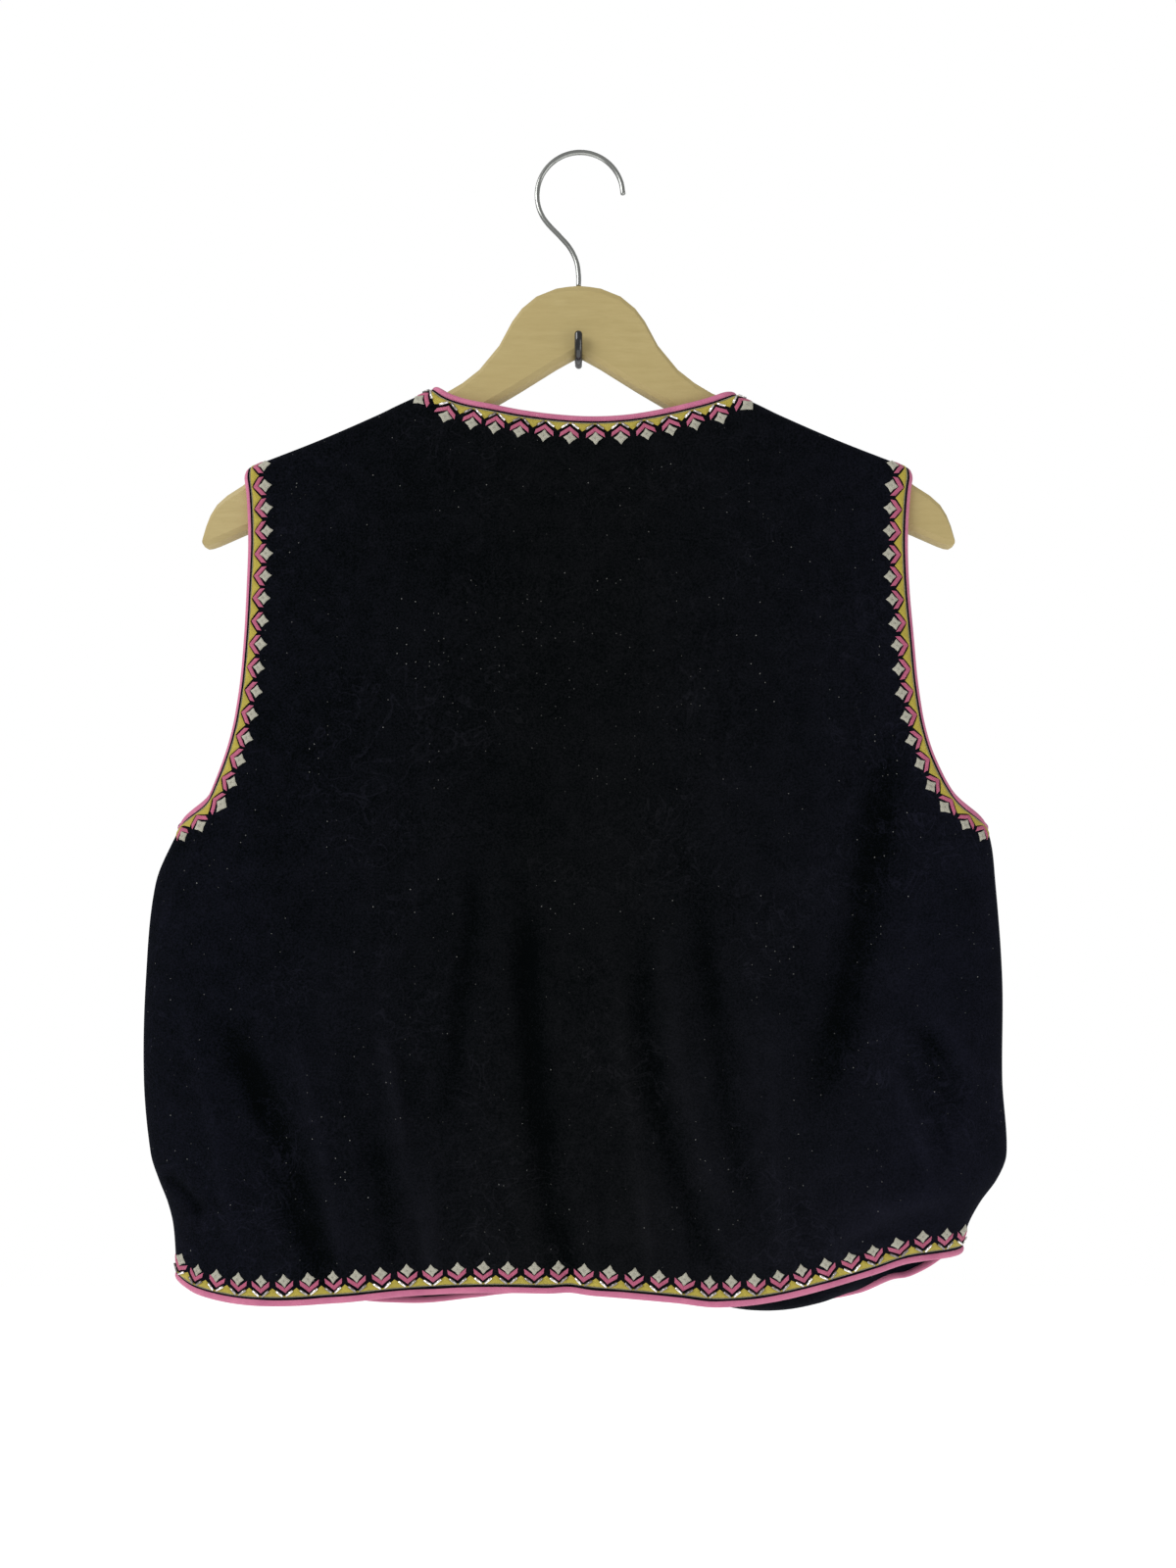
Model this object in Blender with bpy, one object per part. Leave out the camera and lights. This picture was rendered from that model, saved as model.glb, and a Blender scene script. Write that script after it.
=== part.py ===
# A bound velvet vest, seen from behind, hanging on a flat wooden hanger and a wall hook.
#
# Metres. The origin is the middle of the wall plate's back face. +X is to the right of
# someone who faces the wall, +Y goes into the wall and +Z is up. The vest's back faces -Y.
# A place on the cloth is given by a turn (0 at the middle of the back, plus or minus a
# quarter turn at the sides, half a turn at the middle of the front) and by a height.
import math
from collections import namedtuple

import bmesh
import bpy
from mathutils import Vector

# Driving sizes
HANGER_Y = -0.045
WALL = 0.002
GAP = 0.0003
BOARD_THICK = 0.012
CREST_DEPTH = 0.0095
CREST_RISE = 0.008
SETTLE = 0.120
QUARTER = math.pi / 2
BINDING_WIDTH = 0.0030
BINDING_THICK = 0.0034
BINDING_SIDES = 6
FRONT_GAP_HALF = 0.0052
CHAIN_STEPS = 60

# How many cells the panels have: across the shoulders, the back neck and a front,
# and up the side seam and the armhole, with the rows that round the shoulder's crest
SHOULDER_CELLS = 10
NECK_CELLS = 18
NECK_END_SHARES = [0.0, 0.008, 0.020, 0.037, 0.060, 0.090]
FRONT_CELLS = 22
SEAM_CELLS = 10
SEAM_POWER = 1.12
ARMHOLE_CELLS = 11
ARMHOLE_POWER = 1.5
UNDERARM_SHARE = 0.54
CREST_DROPS = [0.0080, 0.0040, 0.00107, 0.0]
NECK_LEAN = 0.6
CURL_DROPS = [0.0044, 0.0088, 0.0132, 0.0176, 0.0220]
ARMHOLE_START = SEAM_CELLS + len(CURL_DROPS)
PANEL_LENGTH = 0.49
EDGE_POWER = 3

# Girth of the cloth at some heights: half widths to each side, depths behind and in front
Section = namedtuple("Section", "height left right back front")
SECTIONS = [
    Section(-0.620, 0.235, 0.216, 0.027, 0.025),
    Section(-0.578, 0.2355, 0.222, 0.028, 0.026),
    Section(-0.549, 0.237, 0.2275, 0.029, 0.027),
    Section(-0.534, 0.2405, 0.235, 0.030, 0.027),
    Section(-0.520, 0.246, 0.2452, 0.030, 0.027),
    Section(-0.506, 0.2504, 0.2505, 0.030, 0.027),
    Section(-0.463, 0.2544, 0.248, 0.030, 0.027),
    Section(-0.405, 0.2533, 0.248, 0.030, 0.027),
    Section(-0.348, 0.2475, 0.244, 0.029, 0.026),
    Section(-0.319, 0.2352, 0.2401, 0.028, 0.026),
    Section(-0.304, 0.2268, 0.2310, 0.028, 0.026),
    Section(-0.288, 0.2200, 0.2235, 0.027, 0.025),
    Section(-0.250, 0.2140, 0.2170, 0.027, 0.025),
    Section(-0.060, 0.2140, 0.2170, 0.026, 0.024),
]

# Outer top of the shoulders, from the neck out to the tip
Rise = namedtuple("Rise", "reach height")
SHOULDER = [
    Rise(0.0800, -0.0568),
    Rise(0.0895, -0.0612),
    Rise(0.1050, -0.0683),
    Rise(0.1176, -0.0744),
    Rise(0.1510, -0.0889),
    Rise(0.1878, -0.1033),
    Rise(0.2000, -0.1082),
]
TIP_REACH = 0.1915
NECK_LEFT = -0.0860
NECK_RIGHT = 0.0930

# Back neck, between the two shoulder seams
Point = namedtuple("Point", "x height")
NECK = [
    Point(-0.0785, -0.0658),
    Point(-0.0670, -0.0702),
    Point(-0.0520, -0.0732),
    Point(-0.0330, -0.0770),
    Point(-0.0120, -0.0797),
    Point(0.0080, -0.0808),
    Point(0.0280, -0.0798),
    Point(0.0470, -0.0768),
    Point(0.0640, -0.0729),
    Point(0.0760, -0.0697),
    Point(0.0855, -0.0662),
]

# Back armholes: how far the cut edge lies from the middle on each side
Edge = namedtuple("Edge", "height left right")
BACK_ARMHOLE = [
    Edge(-0.3030, 0.2172, 0.2225),
    Edge(-0.2900, 0.2092, 0.2117),
    Edge(-0.2760, 0.2034, 0.2044),
    Edge(-0.2620, 0.1988, 0.1993),
    Edge(-0.2340, 0.1932, 0.1936),
    Edge(-0.2060, 0.1905, 0.1908),
    Edge(-0.1780, 0.1893, 0.1886),
    Edge(-0.1500, 0.1888, 0.1882),
    Edge(-0.1250, 0.1900, 0.1898),
]
UNDERARM_HEIGHT = -0.3175

# Front armholes, cut deeper than the back's
FRONT_ARMHOLE = [
    Edge(-0.3080, 0.2250, 0.2290),
    Edge(-0.2900, 0.2120, 0.2150),
    Edge(-0.2600, 0.1950, 0.1970),
    Edge(-0.2300, 0.1840, 0.1850),
    Edge(-0.1900, 0.1790, 0.1790),
    Edge(-0.1500, 0.1815, 0.1815),
    Edge(-0.1250, 0.1870, 0.1870),
]

# Neckline and opening edge of the fronts
FRONT_EDGE = [
    Rise(0.0052, -0.2400),
    Rise(0.0060, -0.2200),
    Rise(0.0200, -0.1940),
    Rise(0.0450, -0.1520),
    Rise(0.0650, -0.1120),
    Rise(0.0780, -0.0830),
]

# Hem lines: the cut edge's height at some places across
BACK_HEM = [
    Point(-0.2350, -0.5755),
    Point(-0.2200, -0.5805),
    Point(-0.1870, -0.5835),
    Point(-0.1430, -0.5810),
    Point(-0.0990, -0.5760),
    Point(-0.0550, -0.5738),
    Point(0.0000, -0.5750),
    Point(0.0550, -0.5795),
    Point(0.0800, -0.5822),
    Point(0.1150, -0.5785),
    Point(0.1680, -0.5655),
    Point(0.1900, -0.5600),
    Point(0.2280, -0.5600),
]
FRONT_HEM = [
    Point(-0.2350, -0.5755),
    Point(-0.2000, -0.5860),
    Point(-0.1500, -0.5960),
    Point(-0.0980, -0.6010),
    Point(-0.0500, -0.5960),
    Point(0.0000, -0.5930),
    Point(0.0450, -0.5965),
    Point(0.0650, -0.6050),
    Point(0.0850, -0.6180),
    Point(0.1150, -0.6226),
    Point(0.1450, -0.6165),
    Point(0.1680, -0.6025),
    Point(0.1870, -0.5870),
    Point(0.1988, -0.5820),
    Point(0.2095, -0.5752),
    Point(0.2190, -0.5665),
    Point(0.2280, -0.5600),
]

# The right front's hem curls out and up, towards the wall, over part of its length
CURL_LENGTH = 0.022
CURL_RADIUS = 0.0100
Curl = namedtuple("Curl", "x share")
CURL = [
    Curl(0.0300, 0.0),
    Curl(0.0850, 0.85),
    Curl(0.1150, 1.0),
    Curl(0.1450, 0.85),
    Curl(0.1950, 0.0),
]

# Folds: a line from head to foot, its sideways bow, half width and height (minus sinks in)
Fold = namedtuple("Fold", "head_x head_z foot_x foot_z bow width rise")
BACK_FOLDS = [
    Fold(-0.0298, -0.350, -0.0028, -0.582, -0.007, 0.0080, -0.0042),
    Fold(0.0358, -0.370, 0.0799, -0.565, -0.013, 0.0070, -0.0026),
    Fold(0.0496, -0.370, 0.0771, -0.520, -0.006, 0.0060, 0.0018),
    Fold(0.0689, -0.345, 0.0992, -0.535, -0.004, 0.0070, -0.0026),
    Fold(0.1763, -0.268, 0.1378, -0.465, 0.004, 0.0120, -0.0040),
    Fold(-0.1102, -0.425, -0.0827, -0.560, 0.000, 0.0055, 0.0030),
    Fold(-0.1160, -0.480, -0.1040, -0.560, 0.000, 0.0060, -0.0020),
    Fold(-0.1990, -0.425, -0.1433, -0.572, 0.004, 0.0100, -0.0042),
    Fold(0.1928, -0.425, 0.2150, -0.480, 0.000, 0.0060, -0.0026),
    Fold(0.1378, -0.555, 0.2039, -0.524, 0.006, 0.0070, 0.0030),
    Fold(-0.0551, -0.326, -0.0722, -0.470, 0.000, 0.0060, -0.0018),
]
FRONT_FOLDS = [
    Fold(-0.1500, -0.300, -0.1250, -0.590, 0.006, 0.0100, -0.0036),
    Fold(-0.0750, -0.380, -0.0600, -0.590, -0.004, 0.0080, -0.0030),
    Fold(-0.1950, -0.440, -0.1750, -0.590, 0.003, 0.0080, 0.0026),
    Fold(0.0550, -0.360, 0.0700, -0.600, 0.005, 0.0090, -0.0034),
    Fold(0.1600, -0.300, 0.1300, -0.590, -0.005, 0.0110, -0.0038),
    Fold(0.1950, -0.420, 0.1800, -0.570, 0.000, 0.0080, 0.0026),
]

# Hanger board, from the middle out: its upper and lower edges
Board = namedtuple("Board", "reach top low")
BOARD = [
    Board(0.0000, 0.0014, -0.0399),
    Board(0.0130, -0.0002, -0.0470),
    Board(0.0245, -0.0048, -0.0542),
    Board(0.0330, -0.0118, -0.0595),
    Board(0.0385, -0.0191, -0.0628),
    Board(0.0462, -0.0334, -0.0673),
    Board(0.0579, -0.0476, -0.0742),
    Board(0.0781, -0.0615, -0.0852),
    Board(0.1050, -0.0708, -0.0990),
    Board(0.1176, -0.0769, -0.1056),
    Board(0.1510, -0.0914, -0.1228),
    Board(0.1700, -0.0990, -0.1324),
    Board(0.1878, -0.1085, -0.1412),
    Board(0.1954, -0.1149, -0.1442),
    Board(0.2045, -0.1207, -0.1482),
    Board(0.2105, -0.1261, -0.1508),
    Board(0.2143, -0.1322, -0.1521),
    Board(0.2168, -0.1385, -0.1524),
    Board(0.2182, -0.1440, -0.1517),
    Board(0.2188, -0.1476, -0.1502),
]
BOARD_ROUND = 0.0045
BOARD_ROUND_STEPS = 2

# Steel hook: a wire that leaves the board's head, leans aside and turns over the top
WIRE_THICK = 0.0029
WIRE_SIDES = 8
HOOK_CENTRE_X = 0.0009
HOOK_CENTRE_Z = 0.0550
HOOK_RADIUS = 0.0252
HOOK_START = math.radians(222)
HOOK_END = math.radians(2)
HOOK_STEPS = 14
STEM = [
    Point(0.0, 0.0017),
    Point(0.0, 0.0080),
    Point(-0.0012, 0.0160),
    Point(-0.0050, 0.0240),
    Point(-0.0110, 0.0310),
]

# Wall hook: a round plate and a rod that goes down behind the board, under it and up again
PLATE_RADIUS = 0.017
PLATE_THICK = 0.004
PLATE_ROUND = 0.0012
PLATE_SIDES = 32
ROD_THICK = 0.0046
ROD_SIDES = 10
RodPoint = namedtuple("RodPoint", "y height")
ROD = [
    RodPoint(-0.0043, -0.0060),
    RodPoint(-0.0150, -0.0060),
    RodPoint(-0.0240, -0.0070),
    RodPoint(-0.0305, -0.0125),
    RodPoint(-0.0332, -0.0220),
    RodPoint(-0.0337, -0.0320),
    RodPoint(-0.0352, -0.0388),
    RodPoint(-0.0395, -0.0425),
    RodPoint(-0.0450, -0.0431),
    RodPoint(-0.0505, -0.0422),
    RodPoint(-0.0540, -0.0385),
    RodPoint(-0.0553, -0.0340),
    RodPoint(-0.0556, -0.0303),
]
Dome = namedtuple("Dome", "beyond share")
ROD_TIP = [Dome(0.0012, 0.80), Dome(0.0020, 0.42)]
PATH_STEPS = 26
ROD_STEPS = 22
STATION_STEP = 0.012

Look = namedtuple("Look", "name colour roughness metallic")
VELVET = Look("black_velvet", (0.012, 0.013, 0.018), 0.95, 0.0)
PINK = Look("pink_binding", (0.58, 0.15, 0.27), 0.75, 0.0)
WOOD = Look("pale_wood", (0.50, 0.38, 0.16), 0.55, 0.0)
STEEL = Look("steel_wire", (0.42, 0.43, 0.41), 0.30, 1.0)
BLACK = Look("black_gloss", (0.012, 0.012, 0.013), 0.12, 0.0)


# Helpers that read a table on one smooth curve
def read(rows, key, value, at):
    places = [getattr(row, key) for row in rows]
    values = [getattr(row, value) for row in rows]
    if at <= places[0]:
        return values[0]
    if at >= places[-1]:
        return values[-1]
    last = len(rows) - 1
    n = max(i for i in range(last) if places[i] <= at)

    def slope(i):
        a = max(i - 1, 0)
        b = min(i + 1, last)
        return (values[b] - values[a]) / (places[b] - places[a])

    step = places[n + 1] - places[n]
    t = (at - places[n]) / step
    start = values[n] * (2 * t**3 - 3 * t**2 + 1) + slope(n) * step * (t**3 - 2 * t**2 + t)
    end = values[n + 1] * (3 * t**2 - 2 * t**3) + slope(n + 1) * step * (t**3 - t**2)
    return start + end


def ease(t):
    t = min(max(t, 0.0), 1.0)
    return t * t * (3 - 2 * t)


def shoulder_height(x):
    return read(SHOULDER, "reach", "height", abs(x))


def half_width(side, height):
    return read(SECTIONS, "height", "left" if side < 0 else "right", height)


def turn_at(x, height, front=False):
    turn = math.asin(min(abs(x) / half_width(x, height), 1.0))
    if front:
        turn = math.pi - turn
    return math.copysign(turn, x)


def fold_rise(folds, x, height):
    total = 0.0
    for fold in folds:
        run_x = fold.foot_x - fold.head_x
        run_z = fold.foot_z - fold.head_z
        length = math.hypot(run_x, run_z)
        away_x = x - fold.head_x
        away_z = height - fold.head_z
        along = (away_x * run_x + away_z * run_z) / length**2
        across = (away_z * run_x - away_x * run_z) / length
        middle = min(max(along, 0.0), 1.0)
        across -= fold.bow * 4 * middle * (1 - middle)
        fade = ease((along + 0.12) / 0.35) * ease((1.12 - along) / 0.25)
        total += fold.rise * fade * math.exp(-((across / fold.width) ** 2))
    return total


# One place on the cloth: its outer face, or a face that lies inset below it
def cloth(turn, height, inset=0.0):
    side = math.copysign(1.0, math.sin(turn))
    behind = math.cos(turn) > 0
    sine = abs(math.sin(turn))
    across = side * (half_width(side, height) - inset) * sine
    full = read(SECTIONS, "height", "back" if behind else "front", height) - inset
    out = full * abs(math.cos(turn)) * math.sqrt(1 + sine * sine)
    drop = max(shoulder_height(across) - height, 0.0)
    crest = CREST_DEPTH - inset
    if drop < CREST_RISE:
        crest *= math.sqrt(max(1 - (1 - drop / CREST_RISE) ** 2, 0.0))
    out = crest + (out - crest) * ease(drop / SETTLE)
    folds = BACK_FOLDS if behind else FRONT_FOLDS
    out += fold_rise(folds, across, height) * min(1.0, abs(math.cos(turn)) * 2.5)
    level = height
    if inset > 0 and drop < CREST_RISE:
        level -= inset * (1 - drop / CREST_RISE)
    if not behind and side > 0:
        level, out = curl_hem(across, level, out, inset)
    out = max(out, GAP / 2)
    return Vector((across, HANGER_Y - out if behind else HANGER_Y + out, level))


def curl_hem(x, height, out, inset):
    share = read(CURL, "x", "share", x)
    start = read(FRONT_HEM, "x", "height", x) + CURL_LENGTH
    below = start - height
    if share < 0.02 or below <= 0:
        return height, out
    radius = CURL_RADIUS / share
    swing = below / radius
    return start - (radius + inset) * math.sin(swing), out + (radius + inset) * (1 - math.cos(swing))


# Chains of (turn, height) places, and places spread evenly along them
def spread(chain, shares):
    points = [cloth(turn, height) for turn, height in chain]
    lengths = [0.0]
    for a, b in zip(points, points[1:]):
        lengths.append(lengths[-1] + (b - a).length)
    spots = []
    for share in shares:
        want = share * lengths[-1]
        n = 0
        while n < len(chain) - 2 and lengths[n + 1] < want:
            n += 1
        t = (want - lengths[n]) / (lengths[n + 1] - lengths[n])
        spots.append(tuple(chain[n][k] + (chain[n + 1][k] - chain[n][k]) * t for k in (0, 1)))
    return spots


def steps(start, end, count):
    return [start + (end - start) * i / count for i in range(count + 1)]


Knot = namedtuple("Knot", "at turn height")


def smooth_chain(points, count=CHAIN_STEPS):
    knots = [Knot(float(i), turn, height) for i, (turn, height) in enumerate(points)]
    places = steps(0, len(points) - 1, count)
    return [(read(knots, "at", "turn", at), read(knots, "at", "height", at)) for at in places]


# Edges of the panels
def seam_place(side, height, front):
    turn = side * QUARTER
    small = 0.001
    pace = (cloth(turn + small, height) - cloth(turn - small, height)).length / (2 * small)
    away = GAP / 2 / pace
    return turn + side * (away if front else -away), height


def hem_height(side, front):
    hem = FRONT_HEM if front else BACK_HEM
    return hem[0].height if side < 0 else hem[-1].height


def seam_chain(side, front):
    heights = steps(hem_height(side, front), UNDERARM_HEIGHT, CHAIN_STEPS)
    return [seam_place(side, height, front) for height in heights]


def crest_places(reach, lean, side, front):
    places = []
    for drop in CREST_DROPS:
        x = reach - drop * lean
        height = shoulder_height(x) - drop
        places.append((turn_at(side * x, height, front), height))
    return places


def armhole_chain(side, front):
    key = "left" if side < 0 else "right"
    places = [seam_chain(side, front)[-1]]
    for row in FRONT_ARMHOLE if front else BACK_ARMHOLE:
        places.append((turn_at(side * getattr(row, key), row.height, front), row.height))
    places.append(crest_places(TIP_REACH, 0.0, side, front)[0])
    return smooth_chain(places)


def shoulder_chain(start, end, front):
    chain = []
    for x in steps(start, end, CHAIN_STEPS):
        height = shoulder_height(x)
        chain.append((turn_at(x, height, front), height))
    return chain


def neck_chain():
    ends = [Point(x, shoulder_height(x)) for x in (NECK_LEFT, NECK_RIGHT)]
    places = [ends[0], *NECK, ends[1]]
    return smooth_chain([(turn_at(p.x, p.height), p.height) for p in places])


def opening_chain(side, neck):
    foot = read(FRONT_HEM, "x", "height", side * FRONT_GAP_HALF)
    places = [(FRONT_EDGE[0].reach, height) for height in steps(foot, FRONT_EDGE[0].height, 6)]
    for row in FRONT_EDGE[1:]:
        places.append((row.reach * neck / -NECK_LEFT, row.height))
    chain = [(turn_at(side * reach, height, True), height) for reach, height in places]
    return smooth_chain(chain + crest_places(neck, NECK_LEAN, side, True)[:1])


def hem_chain(start, end, front):
    hem = FRONT_HEM if front else BACK_HEM
    chain = []
    for turn in steps(start, end, CHAIN_STEPS):
        height = hem[0].height
        for _ in range(4):
            x = math.copysign(half_width(turn, height) * abs(math.sin(turn)), math.sin(turn))
            height = read(hem, "x", "height", x)
        chain.append((turn, height))
    return chain


# Rows of a panel, as shares of its length, and the places of its side edges in those rows
def row_shares():
    low = [drop / PANEL_LENGTH for drop in CURL_DROPS]
    top = 1 - CREST_DROPS[0] / PANEL_LENGTH
    shares = [0.0] + low[:-1]
    for t in steps(0, 1, SEAM_CELLS):
        shares.append(low[-1] + (UNDERARM_SHARE - low[-1]) * (1 - (1 - t) ** SEAM_POWER))
    for t in steps(0, 1, ARMHOLE_CELLS)[1:]:
        shares.append(UNDERARM_SHARE + (top - UNDERARM_SHARE) * t**ARMHOLE_POWER)
    return shares + [1 - drop / PANEL_LENGTH for drop in CREST_DROPS[1:]]


def side_places(side, front):
    crest = crest_places(TIP_REACH, 0.0, side, front)
    low = [share / UNDERARM_SHARE for share in row_shares()[: ARMHOLE_START + 1]]
    high = [t**ARMHOLE_POWER for t in steps(0, 1, ARMHOLE_CELLS)[1:]]
    return spread(seam_chain(side, front), low) + spread(armhole_chain(side, front), high) + crest[1:]


def opening_places(side):
    neck = -NECK_LEFT if side < 0 else NECK_RIGHT
    shares = row_shares()[: 1 - len(CREST_DROPS)]
    places = spread(opening_chain(side, neck), [share / shares[-1] for share in shares])
    return places + crest_places(neck, NECK_LEAN, side, True)[1:]


# Fills the space between four edges, then reads the cloth's outer and inner face there.
# Columns run straight from foot to top, and only those near a side edge bend along with it.
def fill(foot, top, first, last, rows):
    columns = len(foot) - 1
    grid = []
    for j, v in enumerate(rows):
        line = []
        for i in range(columns + 1):
            u = i / columns
            place = []
            for k in (0, 1):
                straight = (1 - v) * foot[i][k] + v * top[i][k]
                bend_first = first[j][k] - (1 - v) * foot[0][k] - v * top[0][k]
                bend_last = last[j][k] - (1 - v) * foot[-1][k] - v * top[-1][k]
                place.append(straight + (1 - u) ** EDGE_POWER * bend_first + u**EDGE_POWER * bend_last)
            line.append((cloth(*place), cloth(*place, WALL)))
        grid.append(line)
    return grid


def neck_shares():
    ends = NECK_END_SHARES
    middle = steps(ends[-1], 1 - ends[-1], NECK_CELLS)
    return ends[:-1] + middle + [1 - share for share in reversed(ends[:-1])]


def back_panel():
    rows = row_shares()
    shoulder = steps(0, 1, SHOULDER_CELLS)
    top = spread(shoulder_chain(-TIP_REACH, NECK_LEFT, False), shoulder)
    top += spread(neck_chain(), neck_shares())[1:]
    top += spread(shoulder_chain(NECK_RIGHT, TIP_REACH, False), shoulder)[1:]
    first = side_places(-1, False)
    last = side_places(1, False)
    cells = steps(0, 1, len(top) - 1)
    foot = spread(hem_chain(first[0][0], last[0][0], False), cells)
    return fill(foot, top, first, last, rows)


def front_panel(side):
    rows = row_shares()
    cells = steps(0, 1, FRONT_CELLS)
    neck = NECK_LEFT if side < 0 else NECK_RIGHT
    top = spread(shoulder_chain(side * TIP_REACH, neck, True), cells)
    first = side_places(side, True)
    last = opening_places(side)
    foot = spread(hem_chain(first[0][0], last[0][0], True), cells)
    return fill(foot, top, first, last, rows)


# Turns rings of points into one closed body
def loft(bm, rings, close=False):
    made = [[bm.verts.new(point) for point in ring] for ring in rings]
    pairs = list(zip(made, made[1:]))
    if close:
        pairs.append((made[-1], made[0]))
    count = len(made[0])
    for a, b in pairs:
        for k in range(count):
            m = (k + 1) % count
            bm.faces.new((a[k], a[m], b[m], b[k]))
    return made


def wall(bm, grid):
    outer = [[bm.verts.new(pair[0]) for pair in line] for line in grid]
    inner = [[bm.verts.new(pair[1]) for pair in line] for line in grid]
    for j in range(len(grid) - 1):
        for i in range(len(grid[0]) - 1):
            corners = ((j, i), (j, i + 1), (j + 1, i + 1), (j + 1, i))
            a, b, c, d = (grid[row][cell][0] for row, cell in corners)
            split = ((0, 1, 2), (0, 2, 3)) if (a - c).length < (b - d).length else ((0, 1, 3), (1, 2, 3))
            for three in split:
                spots = [corners[k] for k in three]
                bm.faces.new([outer[row][cell] for row, cell in spots])
                bm.faces.new([inner[row][cell] for row, cell in reversed(spots)])
    for line in ("foot", "top", "first", "last"):
        edge_outer = rim_line(outer, line)
        edge_inner = rim_line(inner, line)
        for k in range(len(edge_outer) - 1):
            bm.faces.new((edge_outer[k + 1], edge_outer[k], edge_inner[k], edge_inner[k + 1]))


def rim_line(grid, line):
    if line == "foot":
        return grid[0]
    if line == "top":
        return grid[-1][::-1]
    if line == "first":
        return [row[0] for row in grid][::-1]
    return [row[-1] for row in grid]


def tube(bm, rings, close=False):
    made = loft(bm, rings, close)
    if not close:
        bm.faces.new(made[0])
        bm.faces.new(made[-1])


# Puts a body into the scene with its material
def material(look):
    made = bpy.data.materials.get(look.name)
    if made is None:
        made = bpy.data.materials.new(look.name)
        made.use_nodes = True
        shader = made.node_tree.nodes["Principled BSDF"]
        shader.inputs["Base Color"].default_value = (*look.colour, 1.0)
        shader.inputs["Roughness"].default_value = look.roughness
        shader.inputs["Metallic"].default_value = look.metallic
    return made


def make(name, look, build, *given):
    mesh = bpy.data.meshes.new(name)
    bm = bmesh.new()
    build(bm, *given)
    bmesh.ops.recalc_face_normals(bm, faces=bm.faces)
    if bm.calc_volume(signed=True) < 0:
        bmesh.ops.reverse_faces(bm, faces=bm.faces)
    bmesh.ops.triangulate(bm, faces=bm.faces, quad_method="SHORT_EDGE")
    bm.to_mesh(mesh)
    bm.free()
    mesh.shade_smooth()
    mesh.set_sharp_from_angle(angle=math.radians(40))
    mesh.materials.append(material(look))
    piece = bpy.data.objects.new(name, mesh)
    piece.parent = bpy.data.objects["vest_frame"]
    bpy.context.scene.collection.objects.link(piece)


# Bindings: an oval strip just beyond a panel's cut edge, from the edge's own points
def binding_runs(runs, close=False):
    flat = [(pair, n) for n, run in enumerate(runs) for pair in run]
    middles = [(outer + inner) / 2 for (outer, inner), _ in flat]
    count = len(flat)
    stretches = [[] for _ in runs]
    for k, ((outer, inner), n) in enumerate(flat):
        before = (k - 1) % count if close else max(k - 1, 0)
        after = (k + 1) % count if close else min(k + 1, count - 1)
        if (middles[k] - middles[before]).length < 3 * GAP:
            before = (before - 1) % count if close else max(before - 1, 0)
        if (middles[after] - middles[k]).length < 3 * GAP:
            after = (after + 1) % count if close else min(after + 1, count - 1)
        along = (middles[after] - middles[before]).normalized()
        up = (outer - inner).normalized()
        beyond = along.cross(up).normalized()
        up = beyond.cross(along).normalized()
        centre = middles[k] + beyond * (GAP + BINDING_WIDTH / 2)
        ring = []
        for s in range(BINDING_SIDES):
            angle = 2 * math.pi * (s + 0.5) / BINDING_SIDES
            wide = beyond * math.cos(angle) / math.cos(math.pi / BINDING_SIDES) * BINDING_WIDTH / 2
            ring.append(centre + wide + up * math.sin(angle) * BINDING_THICK / 2)
        stretches[n].append(ring)
    return stretches


def column(grid, i):
    return [line[i] for line in grid]


def round_ring(centre, across, upward, radius, sides):
    ring = []
    for s in range(sides):
        angle = 2 * math.pi * (s + 0.5) / sides
        ring.append(centre + (across * math.cos(angle) + upward * math.sin(angle)) * radius)
    return ring


# A round wire along a flat path; across points out of the path's plane
def wire_rings(path, thick, sides, across):
    rings = []
    for n, point in enumerate(path):
        along = (path[min(n + 1, len(path) - 1)] - path[max(n - 1, 0)]).normalized()
        rings.append(round_ring(point, across, along.cross(across), thick / 2, sides))
    return rings


# The hanger's board, lofted through rounded sections from one end to the other
def board_ring(x):
    top = read(BOARD, "reach", "top", abs(x))
    low = read(BOARD, "reach", "low", abs(x))
    round_off = min(BOARD_ROUND, (top - low) * 0.45)
    ring = []
    for quarter in range(4):
        side = 1 if quarter in (0, 3) else -1
        rise = 1 if quarter < 2 else -1
        y = HANGER_Y + side * (BOARD_THICK / 2 - round_off)
        z = (top if rise > 0 else low) - rise * round_off
        for s in range(BOARD_ROUND_STEPS + 1):
            angle = QUARTER * (quarter + s / BOARD_ROUND_STEPS)
            ring.append(Vector((x, y + math.cos(angle) * round_off, z + math.sin(angle) * round_off)))
    return ring


def board_stations():
    reaches = [0.0]
    for a, b in zip(BOARD, BOARD[1:]):
        count = math.ceil((b.reach - a.reach) / STATION_STEP)
        reaches += steps(a.reach, b.reach, count)[1:]
    return [-reach for reach in reversed(reaches[1:])] + reaches


def hook_path():
    spots = [(p.x, p.height) for p in STEM]
    for angle in steps(HOOK_START, HOOK_END, HOOK_STEPS):
        x = HOOK_CENTRE_X + HOOK_RADIUS * math.cos(angle)
        spots.append((x, HOOK_CENTRE_Z + HOOK_RADIUS * math.sin(angle)))
    return [Vector((x, HANGER_Y, z)) for x, z in smooth_chain(spots, PATH_STEPS)]


def rod_rings():
    path = [Vector((0.0, y, z)) for y, z in smooth_chain([(p.y, p.height) for p in ROD], ROD_STEPS)]
    rings = wire_rings(path, ROD_THICK, ROD_SIDES, Vector((1, 0, 0)))
    along = (path[-1] - path[-2]).normalized()
    for dome in ROD_TIP:
        centre = path[-1] + along * dome.beyond
        rings.append([centre + (point - path[-1]) * dome.share for point in rings[ROD_STEPS]])
    return rings


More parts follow.
